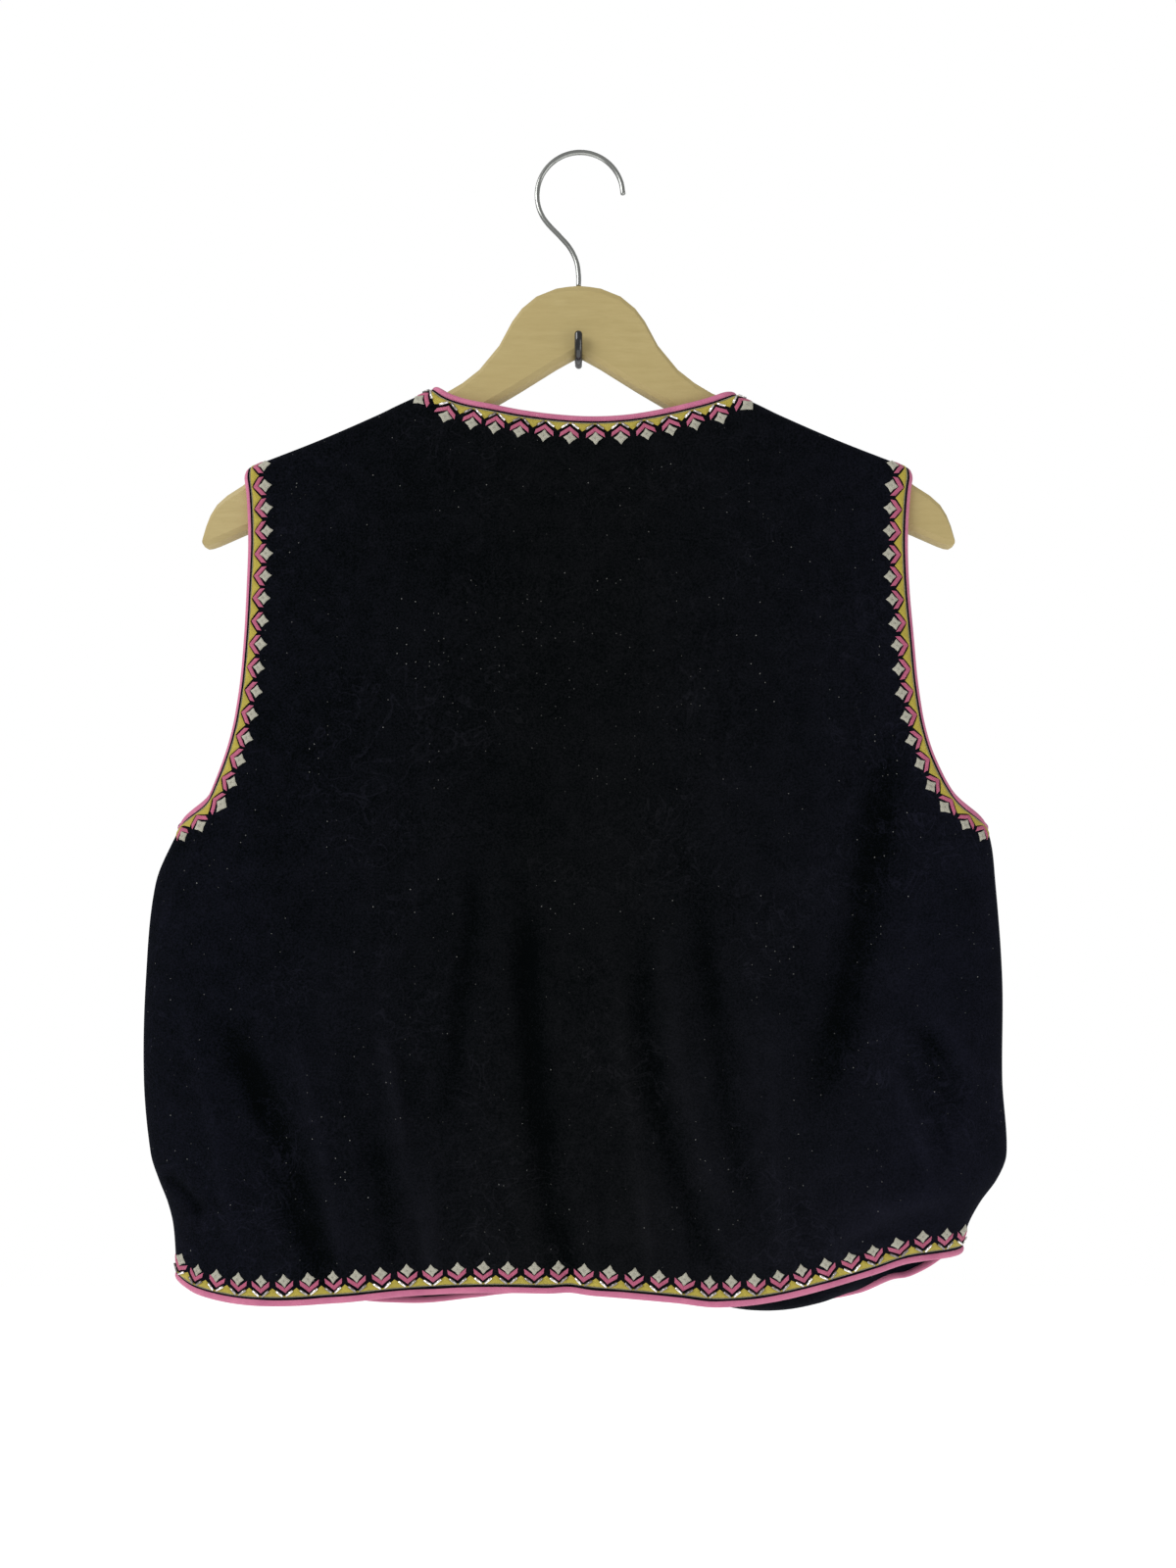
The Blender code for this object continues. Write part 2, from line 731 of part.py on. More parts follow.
def plate_rings():
    rings = []
    for back, radius in (
        (0.0, PLATE_RADIUS),
        (PLATE_THICK - PLATE_ROUND, PLATE_RADIUS),
        (PLATE_THICK, PLATE_RADIUS - PLATE_ROUND),
    ):
        rings.append(round_ring(Vector((0, -back, 0)), Vector((1, 0, 0)), Vector((0, 0, 1)), radius, PLATE_SIDES))
    return rings


def main():
    for old in list(bpy.data.objects):
        bpy.data.objects.remove(old, do_unlink=True)
    frame = bpy.data.objects.new("vest_frame", None)
    bpy.context.scene.collection.objects.link(frame)

    back = back_panel()
    left = front_panel(-1)
    right = front_panel(1)
    make("back", VELVET, wall, back)
    make("front_left", VELVET, wall, left)
    make("front_right", VELVET, wall, right)

    neck = back[-1][SHOULDER_CELLS:-SHOULDER_CELLS]
    neck_line = [column(right, -1), neck[::-1], column(left, -1)[::-1]]
    hem_line = [left[0][::-1], back[0], right[0]]
    for names, line in (
        (("binding_front_right", "binding_neck", "binding_front_left"), neck_line),
        (("binding_hem_left", "binding_hem_back", "binding_hem_right"), hem_line),
    ):
        for name, rings in zip(names, binding_runs(line)):
            make(name, PINK, tube, rings)

    for side, name, front in ((-1, "binding_armhole_left", left), (1, "binding_armhole_right", right)):
        back_arm = column(back, 0 if side < 0 else -1)[ARMHOLE_START:]
        front_arm = column(front, 0)[ARMHOLE_START:]
        loop = front_arm + back_arm[::-1] if side < 0 else back_arm + front_arm[::-1]
        make(name, PINK, tube, binding_runs([loop], True)[0], True)

    make("hanger_board", WOOD, tube, [board_ring(x) for x in board_stations()])
    make("hanger_hook", STEEL, tube, wire_rings(hook_path(), WIRE_THICK, WIRE_SIDES, Vector((0, 1, 0))))
    make("wall_plate", BLACK, tube, plate_rings())
    make("wall_hook", BLACK, tube, rod_rings())


main()
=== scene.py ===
# %% [markdown]
# # A velvet vest on a wooden hanger
# The scene dresses a finished solid model of a folk vest that hangs with its back to us.
# The solids give every size. The first cell loads them.

import math
import random
from collections import namedtuple

import bmesh
import bpy
import numpy as np
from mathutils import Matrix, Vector


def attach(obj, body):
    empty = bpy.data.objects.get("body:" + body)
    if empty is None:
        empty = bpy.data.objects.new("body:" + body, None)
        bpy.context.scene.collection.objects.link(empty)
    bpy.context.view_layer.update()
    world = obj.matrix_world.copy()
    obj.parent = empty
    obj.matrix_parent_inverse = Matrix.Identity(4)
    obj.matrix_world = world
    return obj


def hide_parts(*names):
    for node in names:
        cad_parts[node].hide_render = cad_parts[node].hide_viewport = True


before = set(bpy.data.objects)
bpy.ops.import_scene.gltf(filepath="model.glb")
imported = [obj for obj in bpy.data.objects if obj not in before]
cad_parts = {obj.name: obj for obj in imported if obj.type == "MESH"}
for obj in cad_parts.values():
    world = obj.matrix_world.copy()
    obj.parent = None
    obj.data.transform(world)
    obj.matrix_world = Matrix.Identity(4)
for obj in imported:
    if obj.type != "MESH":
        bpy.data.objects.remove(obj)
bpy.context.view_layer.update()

# %% [markdown]
# The camera stands level in front of the vest's middle, about three quarters of a metre
# away. A vertical picture takes the sensor's width along its long side.

# %% Camera
lens_data = bpy.data.cameras.new("camera")
lens_data.lens = 28.2
lens_data.sensor_width = 36.0
camera = bpy.data.objects.new("camera", lens_data)
camera.location = (0.0055, -0.765, -0.290)
camera.rotation_euler = (math.radians(90), 0, 0)
bpy.context.scene.collection.objects.link(camera)
bpy.context.scene.camera = camera

# %% [markdown]
# Black velvet needs soft light from wide sources: a hard lamp would leave it a flat hole.
# One large lamp stands high on the left, a weaker one low on the right, and the pale
# surroundings fill the rest. A pale floor lies well below, as the vest hangs high.

# %% Lamps
Lamp = namedtuple("Lamp", "name place size power")
LAMPS = [
    Lamp("key_light", (-1.5, -1.1, 0.75), 1.1, 26.0),
    Lamp("side_light", (1.6, -0.9, -0.35), 1.0, 7.0),
    Lamp("back_light", (0.3, 1.6, 0.9), 1.2, 8.0),
]
VEST_MIDDLE = Vector((0.0, -0.045, -0.29))
for lamp in LAMPS:
    data = bpy.data.lights.new(lamp.name, "AREA")
    data.size = lamp.size
    data.energy = lamp.power
    light = bpy.data.objects.new(lamp.name, data)
    light.location = lamp.place
    light.rotation_euler = (VEST_MIDDLE - Vector(lamp.place)).to_track_quat("-Z", "Y").to_euler()
    bpy.context.scene.collection.objects.link(light)
print("lamps:", [lamp.name for lamp in LAMPS])

# %% Floor
FLOOR_Z = -1.30
FLOOR_HALF = 1.7
floor_bm = bmesh.new()
bmesh.ops.create_grid(floor_bm, x_segments=1, y_segments=1, size=FLOOR_HALF)
bmesh.ops.translate(floor_bm, verts=floor_bm.verts, vec=(0, 0, FLOOR_Z))
floor_mesh = bpy.data.meshes.new("floor")
floor_bm.to_mesh(floor_mesh)
floor_bm.free()
floor = bpy.data.objects.new("floor", floor_mesh)
bpy.context.scene.collection.objects.link(floor)
print("floor at:", FLOOR_Z)

# %% [markdown]
# The room is pure white where the camera sees it, as the photograph's ground is, but it
# lights the vest less than that, or the black would turn grey.

# %% Room
ROOM_LIGHT = 0.42
ROOM_SEEN = 1.0
world = bpy.data.worlds.new("pale_room")
world.use_nodes = True
room = world.node_tree.nodes["Background"]
room.inputs["Color"].default_value = (1.0, 1.0, 1.0, 1.0)
seen = world.node_tree.nodes.new("ShaderNodeLightPath")
dimmed = world.node_tree.nodes.new("ShaderNodeMapRange")
dimmed.inputs["To Min"].default_value = ROOM_LIGHT
dimmed.inputs["To Max"].default_value = ROOM_SEEN
world.node_tree.links.new(seen.outputs["Is Camera Ray"], dimmed.inputs["Value"])
world.node_tree.links.new(dimmed.outputs["Result"], room.inputs["Strength"])
bpy.context.scene.world = world
bpy.context.scene.view_settings.view_transform = "Standard"
print("room:", world.name)

# %% [markdown]
# Every finish below is made of nodes, and a few helpers keep those cells short. They set a
# socket, add a node, do a sum, change a range and mix two colours by a mask. Each gives
# back what the next node needs.

# %% Helpers for nodes


# A socket takes a link from another socket, or a plain value of its own
def put_in(socket, value):
    if isinstance(value, bpy.types.NodeSocket):
        socket.id_data.links.new(value, socket)
    else:
        socket.default_value = value


def add(tree, kind, **inputs):
    node = tree.nodes.new("ShaderNode" + kind)
    for name, value in inputs.items():
        put_in(node.inputs[name.replace("_", " ")], value)
    return node


def maths(tree, operation, *values):
    node = add(tree, "Math")
    node.operation = operation
    for socket, value in zip(node.inputs, values):
        put_in(socket, value)
    return node.outputs[0]


def remap(tree, value, low=0.0, high=1.0, to_low=0.0, to_high=1.0):
    node = add(tree, "MapRange")
    for socket, given_value in zip(node.inputs, (value, low, high, to_low, to_high)):
        put_in(socket, given_value)
    return node.outputs[0]


def split(tree, vector):
    return add(tree, "SeparateXYZ", Vector=vector).outputs


def object_space(tree):
    return add(tree, "TexCoord").outputs["Object"]


def own_map(tree, name="threads"):
    node = add(tree, "UVMap")
    node.uv_map = name
    return node.outputs["UV"]


def blend_colour(tree, mask, dark, light):
    mix = add(tree, "Mix")
    mix.data_type = "RGBA"
    put_in(mix.inputs["Factor"], mask)
    for socket, value in zip((mix.inputs[6], mix.inputs[7]), (dark, light)):
        put_in(socket, (*value, 1.0) if isinstance(value, tuple) else value)
    return mix.outputs[2]


# %% [markdown]
# A finish is a material with its shader, and a relief is a bump that the shader feels. An
# effect is a group of nodes with named sockets, made once and placed in many finishes.

# %% Helpers for finishes and effects


def finish(name, roughness, metallic=0.0, **plain):
    made = bpy.data.materials.new(name)
    made.use_nodes = True
    shader = made.node_tree.nodes["Principled BSDF"]
    for socket, value in {"Roughness": roughness, "Metallic": metallic, **plain}.items():
        put_in(shader.inputs[socket.replace("_", " ")], value)
    return made, made.node_tree, shader


def relief(tree, shader, height, strength, distance):
    bump = add(tree, "Bump", Height=height, Strength=strength, Distance=distance)
    put_in(shader.inputs["Normal"], bump.outputs["Normal"])


def effect(name, **inputs):
    group = bpy.data.node_groups.new(name, "ShaderNodeTree")
    for label, value in inputs.items():
        socket = group.interface.new_socket(label, in_out="INPUT", socket_type="NodeSocketFloat")
        socket.default_value = value
    group.interface.new_socket("Mask", in_out="OUTPUT", socket_type="NodeSocketFloat")
    given = group.nodes.new("NodeGroupInput").outputs
    return group, given, group.nodes.new("NodeGroupOutput").inputs["Mask"]


def place_effect(tree, group, **values):
    node = add(tree, "Group")
    node.node_tree = group
    for label, value in values.items():
        node.inputs[label].default_value = value
    return node.outputs["Mask"]


# %% [markdown]
# Nothing worn is one even colour. The first shared effect is a cloudy mask in object
# space, from 0 to 1, that each finish uses at its own scale.

# %% Shared effect: uneven tone
mottle, given, mask_out = effect("uneven_tone", Scale=20.0, Low=0.35, High=0.65)
cloud = add(
    mottle, "TexNoise", Vector=object_space(mottle), Scale=given["Scale"], Detail=4.0, Roughness=0.6
)
put_in(mask_out, remap(mottle, cloud.outputs[0], given["Low"], given["High"]))

# %% [markdown]
# The second is lint: one small speck in a few cells of a cellular pattern. Each cell's
# own random colour decides if it holds a speck, and how bright that is.

# %% Shared effect: lint
lint, given, mask_out = effect("lint", Scale=260.0, Size=0.06, Amount=0.6)
cells = add(lint, "TexVoronoi", Vector=object_space(lint), Scale=given["Scale"])
speck = maths(lint, "LESS_THAN", cells.outputs["Distance"], given["Size"])
luck = split(lint, cells.outputs["Color"])
kept = maths(lint, "LESS_THAN", luck["X"], given["Amount"])
bright = maths(lint, "POWER", luck["Y"], 3.0)
put_in(mask_out, maths(lint, "MULTIPLY", maths(lint, "MULTIPLY", speck, kept), bright))

# %% [markdown]
# The third is crushed nap, which shows as thin curled lines. They are the places where a
# bent noise passes its middle value, and a slow cloud keeps them to patches.

# %% Shared effect: crushed lines
curls, given, mask_out = effect("crushed_lines", Scale=45.0, Width=0.02)
spot = object_space(curls)
bent = add(curls, "TexNoise", Vector=spot, Scale=given["Scale"], Detail=3.0, Distortion=1.6)
off = maths(curls, "ABSOLUTE", maths(curls, "SUBTRACT", bent.outputs[0], 0.5))
line = remap(curls, off, 0.0, given["Width"], 1.0, 0.0)
patches = add(curls, "TexNoise", Vector=spot, Scale=13.0, Detail=2.0)
inside = remap(curls, patches.outputs[0], 0.46, 0.62)
put_in(mask_out, maths(curls, "MULTIPLY", line, inside))

# %% [markdown]
# The fourth is a row of parallel threads for satin stitch. It reads the piece's own map,
# where one unit is a millimetre and the threads run along the second direction.

# %% Shared effect: laid threads
threads, given, mask_out = effect("laid_threads", PerMillimetre=2.6)
flat_map = own_map(threads)
drift = add(threads, "TexNoise", Vector=flat_map, Scale=0.9, Detail=2.0)
moved = maths(threads, "MULTIPLY_ADD", drift.outputs[0], 0.35, split(threads, flat_map)["X"])
turns = maths(threads, "MULTIPLY", moved, given["PerMillimetre"])
wave = maths(threads, "SINE", maths(threads, "MULTIPLY", turns, math.tau))
put_in(mask_out, remap(threads, wave, -1.0, 1.0))

# %% [markdown]
# Cotton velvet swallows light head on and gives a faint bluish sheen at its edges, which is
# also painted into the colour near the sides. Fold shade is painted too: troughs are painted
# blackest, ridges greyer, from a map of their folds that the panels carry. A painted sheen
# makes the cloth lighter low down and on the right. Each cause lightens the pile by its own
# share, starting from a value below black.

# %% Velvet
velvet, tree, shader = finish(
    "black_velvet", 0.95, Specular_IOR_Level=0.03, Sheen_Weight=0.03, Sheen_Roughness=0.35,
    Sheen_Tint=(0.50, 0.58, 0.90, 1.0),
)
place = split(tree, object_space(tree))
fibre = place_effect(tree, mottle, Scale=900.0, Low=0.30, High=0.70)
Cause = namedtuple("Cause", "mask share")
PILE = [
    # Painted sheen: lighter low down, and lighter towards the right
    Cause(remap(tree, place["Z"], -0.25, -0.56), 0.12),
    Cause(remap(tree, place["X"], -0.05, 0.22), 0.15),
    # Painted fold shade: black in the troughs, grey on the ridges
    Cause(split(tree, own_map(tree, "nap"))["X"], 0.60),
    Cause(place_effect(tree, mottle, Scale=16.0, Low=0.40, High=0.70), 0.10),
    Cause(place_effect(tree, mottle, Scale=90.0, Low=0.35, High=0.75), 0.16),
    Cause(fibre, 0.50),
    Cause(place_effect(tree, curls, Scale=42.0, Width=0.020), 0.40),
]
# The sum mixes painted sheen and painted fold shade with random tone, fibre and crushed lines
SHADE_AND_TONE_START = -0.44
lean = SHADE_AND_TONE_START
for cause in PILE:
    lean = maths(tree, "MULTIPLY_ADD", cause.mask, cause.share, lean)
# Painted sheen: towards the sides the light end of the pile colour turns bluish
painted_side_sheen = remap(tree, maths(tree, "ABSOLUTE", place["X"]), 0.03, 0.20)
grey_and_side_sheen = blend_colour(tree, painted_side_sheen, (0.0105, 0.0108, 0.0128), (0.0105, 0.0110, 0.0200))
pile = blend_colour(tree, remap(tree, lean), (0.0004, 0.0010, 0.0012), grey_and_side_sheen)
specks = place_effect(tree, lint, Scale=380.0, Size=0.12, Amount=0.17)
put_in(shader.inputs["Base Color"], blend_colour(tree, specks, pile, (0.20, 0.20, 0.19)))
relief(tree, shader, fibre, 0.30, 0.0005)
print("causes that lighten the pile:", len(PILE))

# %% [markdown]
# The edges are bound with a narrow pink strip of woven cotton. Two crossed waves on the
# strip's own map make the weave, and the colour fades a little along it.

# %% Pink binding
binding, tree, shader = finish("pink_binding", 0.82, Sheen_Weight=0.15)
weave = []
for direction in ("X", "Y"):
    line = add(tree, "TexWave", Vector=own_map(tree), Scale=0.62)
    line.bands_direction = direction
    weave.append(line.outputs["Fac"])
crossed = maths(tree, "MULTIPLY", *weave)
faded = place_effect(tree, mottle, Scale=55.0, Low=0.30, High=0.70)
pink = blend_colour(tree, faded, (0.50, 0.115, 0.235), (0.66, 0.185, 0.315))
woven = blend_colour(tree, maths(tree, "MULTIPLY", crossed, 0.35), pink, (0.74, 0.30, 0.42))
specks = place_effect(tree, lint, Scale=500.0, Size=0.12, Amount=0.40)
put_in(shader.inputs["Base Color"], blend_colour(tree, specks, woven, (0.80, 0.72, 0.72)))
relief(tree, shader, crossed, 0.4, 0.0003)

# %% [markdown]
# The embroidery is satin stitch in floss: pink, off-white, yellow and a pale grey edge
# line. One cell makes the four, as only their colours and their threads' width differ.

# %% Embroidery threads
Floss = namedtuple("Floss", "name dark light per_millimetre")
FLOSSES = [
    Floss("floss_pink", (0.36, 0.055, 0.125), (0.66, 0.150, 0.270), 1.5),
    Floss("floss_white", (0.34, 0.33, 0.25), (0.62, 0.60, 0.50), 1.3),
    Floss("floss_yellow", (0.30, 0.24, 0.020), (0.62, 0.50, 0.055), 1.6),
    Floss("floss_pale", (0.20, 0.19, 0.12), (0.38, 0.36, 0.25), 1.2),
]
PINK, WHITE, YELLOW, PALE = range(len(FLOSSES))
THREAD_SHARE = 0.55
WEAR_SHARE = 0.45
flosses = []
for floss in FLOSSES:
    made, tree, shader = finish(floss.name, 0.62, Sheen_Weight=0.1)
    laid = place_effect(tree, threads, PerMillimetre=floss.per_millimetre)
    worn = place_effect(tree, mottle, Scale=150.0, Low=0.2, High=0.8)
    # Painted shade in the grooves between threads and painted light on their tops, mixed with
    # random worn patches
    thread_shade_and_wear = maths(tree, "MULTIPLY", laid, THREAD_SHARE)
    thread_shade_and_wear = maths(tree, "MULTIPLY_ADD", worn, WEAR_SHARE, thread_shade_and_wear)
    put_in(shader.inputs["Base Color"], blend_colour(tree, thread_shade_and_wear, floss.dark, floss.light))
    relief(tree, shader, laid, 0.6, 0.0003)
    flosses.append(made)
print("threads:", [made.name for made in flosses])

# %% [markdown]
# The bugle beads are short glass tubes lined with silver. Some catch the light and look
# white, others stay dark, so each bead's own map value picks its tone.

# %% Glass beads
glass, tree, shader = finish("bugle_bead", 0.16, metallic=0.75, Coat_Weight=0.6)
pick = split(tree, own_map(tree))["Y"]
bead_tone = blend_colour(tree, pick, (0.10, 0.075, 0.075), (0.95, 0.94, 0.90))
put_in(shader.inputs["Base Color"], bead_tone)
put_in(shader.inputs["Roughness"], remap(tree, pick, to_low=0.35, to_high=0.12))

# %% [markdown]
# The hanger is a flat piece of pale hardwood. The grain runs along each arm, so noise is
# stretched sideways before it is read, and a slower one darkens patches.

# %% Wood
wood, tree, shader = finish("pale_wood", 0.52, Coat_Weight=0.12, Coat_Roughness=0.35)
along = add(tree, "Mapping", Vector=object_space(tree), Scale=(0.14, 1.0, 1.0)).outputs["Vector"]
grain = add(tree, "TexNoise", Vector=along, Scale=420.0, Detail=6.0, Roughness=0.65)
streak = remap(tree, grain.outputs[0], 0.35, 0.70)
patch = place_effect(tree, mottle, Scale=22.0, Low=0.30, High=0.75)
light_wood = blend_colour(tree, streak, (0.50, 0.40, 0.175), (0.43, 0.335, 0.135))
aged = blend_colour(tree, patch, light_wood, (0.46, 0.355, 0.145))
put_in(shader.inputs["Base Color"], aged)
relief(tree, shader, streak, 0.12, 0.0004)

# %% [markdown]
# The hanger's hook is bright drawn steel, a little tarnished. The wall hook is iron under
# black gloss enamel, which shows only by what it mirrors. The same kind of mask dulls the
# steel and lays dust on the enamel: there the colour shifts and the surface is rougher.

# %% Metals
Dull = namedtuple("Dull", "scale low high clear_colour dull_colour clear_rough dull_rough")
TARNISH = Dull(140.0, 0.35, 0.70, (0.42, 0.43, 0.41), (0.33, 0.34, 0.325), 0.22, 0.32)
DUST = Dull(90.0, 0.45, 0.80, (0.006, 0.006, 0.007), (0.020, 0.020, 0.021), 0.10, 0.28)


def dull_patches(tree, shader, dull):
    mask = place_effect(tree, mottle, Scale=dull.scale, Low=dull.low, High=dull.high)
    colour = blend_colour(tree, mask, dull.clear_colour, dull.dull_colour)
    put_in(shader.inputs["Base Color"], colour)
    rough = remap(tree, mask, to_low=dull.clear_rough, to_high=dull.dull_rough)
    put_in(shader.inputs["Roughness"], rough)


steel, tree, shader = finish("steel_wire", 0.28, metallic=1.0)
dull_patches(tree, shader, TARNISH)
enamel, tree, shader = finish("black_gloss", 0.12, Coat_Weight=0.5, Coat_Roughness=0.05)
dull_patches(tree, shader, DUST)
pale, tree, shader = finish(
    "pale_floor", 0.9, Base_Color=(0.92, 0.92, 0.92, 1.0), Emission_Color=(1.0, 1.0, 1.0, 1.0),
    Emission_Strength=0.6,
)
floor.data.materials.append(pale)
print("metal finishes:", steel.name, enamel.name)

# %% [markdown]
# A place on the cloth is a turn round the body and a height. Turn 0 is the middle of the
# back, a quarter turn to each side is a side seam, and half a turn is the front's middle.
# The tables below give the vest's own sizes in metres: how wide and deep it hangs at some
# heights, where its edges are cut, and where its folds fall. A fold's height below zero
# makes it a trough.

# %% Sizes of the vest
HANGER_Y = -0.045
WALL = 0.002
SEAM_GAP = 0.0001
CREST_DEPTH = 0.0095
CREST_RISE = 0.008
SETTLE = 0.120
QUARTER = math.pi / 2
FRONT_GAP_HALF = 0.0052
print("cloth in mm, its wall and the half gap of the fronts:", WALL * 1000, FRONT_GAP_HALF * 1000)

# %% Girth at some heights: half width to each side, depth of back and front
Section = namedtuple("Section", "height left right back front")
SECTIONS = [
    Section(-0.620, 0.235, 0.216, 0.027, 0.025),
    Section(-0.578, 0.2355, 0.222, 0.028, 0.026),
    Section(-0.549, 0.237, 0.2275, 0.029, 0.027),
    Section(-0.534, 0.2405, 0.235, 0.030, 0.027),
    Section(-0.520, 0.246, 0.2452, 0.030, 0.027),
    Section(-0.506, 0.2504, 0.2505, 0.030, 0.027),
    Section(-0.463, 0.2544, 0.248, 0.030, 0.027),
    Section(-0.405, 0.2533, 0.248, 0.030, 0.027),
    Section(-0.348, 0.2475, 0.244, 0.029, 0.026),
    Section(-0.319, 0.2352, 0.2401, 0.028, 0.026),
    Section(-0.304, 0.2268, 0.2310, 0.028, 0.026),
    Section(-0.288, 0.2200, 0.2235, 0.027, 0.025),
    Section(-0.250, 0.2140, 0.2170, 0.027, 0.025),
    Section(-0.060, 0.2140, 0.2170, 0.026, 0.024),
]

print("girth given at", len(SECTIONS), "heights")

# %% Outer top of the shoulders, from the neck out to the tip
Rise = namedtuple("Rise", "reach height")
SHOULDER = [
    Rise(0.0800, -0.0568),
    Rise(0.0895, -0.0612),
    Rise(0.1050, -0.0683),
    Rise(0.1176, -0.0744),
    Rise(0.1510, -0.0889),
    Rise(0.1878, -0.1033),
    Rise(0.2000, -0.1082),
]
TIP_REACH = 0.1915
NECK_LEFT = -0.0860
NECK_RIGHT = 0.0930

# %% Back neck, between the two shoulder seams
Point = namedtuple("Point", "x height")
NECK = [
    Point(-0.0785, -0.0658),
    Point(-0.0670, -0.0702),
    Point(-0.0520, -0.0732),
    Point(-0.0330, -0.0770),
    Point(-0.0120, -0.0797),
    Point(0.0080, -0.0808),
    Point(0.0280, -0.0798),
    Point(0.0470, -0.0768),
    Point(0.0640, -0.0729),
    Point(0.0760, -0.0697),
    Point(0.0855, -0.0662),
]

print("neck width in mm:", round((NECK_RIGHT - NECK_LEFT) * 1000))

# %% Armholes: how far the cut edge lies from the middle on each side
Edge = namedtuple("Edge", "height left right")
BACK_ARMHOLE = [
    Edge(-0.3030, 0.2172, 0.2225),
    Edge(-0.2900, 0.2092, 0.2117),
    Edge(-0.2760, 0.2034, 0.2044),
    Edge(-0.2620, 0.1988, 0.1993),
    Edge(-0.2340, 0.1932, 0.1936),
    Edge(-0.2060, 0.1905, 0.1908),
    Edge(-0.1780, 0.1893, 0.1886),
    Edge(-0.1500, 0.1888, 0.1882),
    Edge(-0.1250, 0.1900, 0.1898),
]
UNDERARM_HEIGHT = -0.3175

# The fronts are cut deeper than the back
FRONT_ARMHOLE = [
    Edge(-0.3080, 0.2250, 0.2290),
    Edge(-0.2900, 0.2120, 0.2150),
    Edge(-0.2600, 0.1950, 0.1970),
    Edge(-0.2300, 0.1840, 0.1850),
    Edge(-0.1900, 0.1790, 0.1790),
    Edge(-0.1500, 0.1815, 0.1815),
    Edge(-0.1250, 0.1870, 0.1870),
]

# %% Neckline and opening edge of the fronts
FRONT_EDGE = [
    Rise(0.0052, -0.2400),
    Rise(0.0060, -0.2200),
    Rise(0.0200, -0.1940),
    Rise(0.0450, -0.1520),
    Rise(0.0650, -0.1120),
    Rise(0.0780, -0.0830),
]

print("the neckline ends below the wall plate by mm:", FRONT_EDGE[0].height * -1000)

# %% Hem lines: the cut edge's height at some places across
BACK_HEM = [
    Point(-0.2350, -0.5755),
    Point(-0.2200, -0.5805),
    Point(-0.1870, -0.5835),
    Point(-0.1430, -0.5810),
    Point(-0.0990, -0.5760),
    Point(-0.0550, -0.5738),
    Point(0.0000, -0.5750),
    Point(0.0550, -0.5795),
    Point(0.0800, -0.5822),
    Point(0.1150, -0.5785),
    Point(0.1680, -0.5655),
    Point(0.1900, -0.5600),
    Point(0.2280, -0.5600),
]
FRONT_HEM = [
    Point(-0.2350, -0.5755),
    Point(-0.2000, -0.5860),
    Point(-0.1500, -0.5960),
    Point(-0.0980, -0.6010),
    Point(-0.0500, -0.5960),
    Point(0.0000, -0.5930),
    Point(0.0450, -0.5965),
    Point(0.0650, -0.6050),
    Point(0.0850, -0.6180),
    Point(0.1150, -0.6226),
    Point(0.1450, -0.6165),
    Point(0.1680, -0.6025),
    Point(0.1870, -0.5870),
    Point(0.1988, -0.5820),
    Point(0.2095, -0.5752),
    Point(0.2190, -0.5665),
    Point(0.2280, -0.5600),
]

lowest = min(point.height for point in FRONT_HEM)
print("lowest place of the hem:", lowest)

# %% The right front's hem curls out and up, towards the wall, over part of its length
CURL_LENGTH = 0.022
CURL_RADIUS = 0.0100
Curl = namedtuple("Curl", "x share")
CURL = [
    Curl(0.0300, 0.0),
    Curl(0.0850, 0.85),
    Curl(0.1150, 1.0),
    Curl(0.1450, 0.85),
    Curl(0.1950, 0.0),
]

print("curl from x to x:", CURL[0].x, CURL[-1].x)

# %% Large folds: a line from head to foot, its sideways bow, half width and height
Fold = namedtuple("Fold", "head_x head_z foot_x foot_z bow width rise")
BACK_FOLDS = [
    Fold(-0.0298, -0.350, -0.0028, -0.582, -0.007, 0.0080, -0.0042),
    Fold(0.0358, -0.370, 0.0799, -0.565, -0.013, 0.0070, -0.0026),
    Fold(0.0496, -0.370, 0.0771, -0.520, -0.006, 0.0060, 0.0018),
    Fold(0.0689, -0.345, 0.0992, -0.535, -0.004, 0.0070, -0.0026),
    Fold(0.1763, -0.268, 0.1378, -0.465, 0.004, 0.0120, -0.0040),
    Fold(-0.1102, -0.425, -0.0827, -0.560, 0.000, 0.0055, 0.0030),
    Fold(-0.1160, -0.480, -0.1040, -0.560, 0.000, 0.0060, -0.0020),
    Fold(-0.1990, -0.425, -0.1433, -0.572, 0.004, 0.0100, -0.0042),
    Fold(0.1928, -0.425, 0.2150, -0.480, 0.000, 0.0060, -0.0026),
    Fold(0.1378, -0.555, 0.2039, -0.524, 0.006, 0.0070, 0.0030),
    Fold(-0.0551, -0.326, -0.0722, -0.470, 0.000, 0.0060, -0.0018),
]
FRONT_FOLDS = [
    Fold(-0.1500, -0.300, -0.1250, -0.590, 0.006, 0.0100, -0.0036),
    Fold(-0.0750, -0.380, -0.0600, -0.590, -0.004, 0.0080, -0.0030),
    Fold(-0.1950, -0.440, -0.1750, -0.590, 0.003, 0.0080, 0.0026),
    Fold(0.0550, -0.360, 0.0700, -0.600, 0.005, 0.0090, -0.0034),
    Fold(0.1600, -0.300, 0.1300, -0.590, -0.005, 0.0110, -0.0038),
    Fold(0.1950, -0.420, 0.1800, -0.570, 0.000, 0.0080, 0.0026),
]
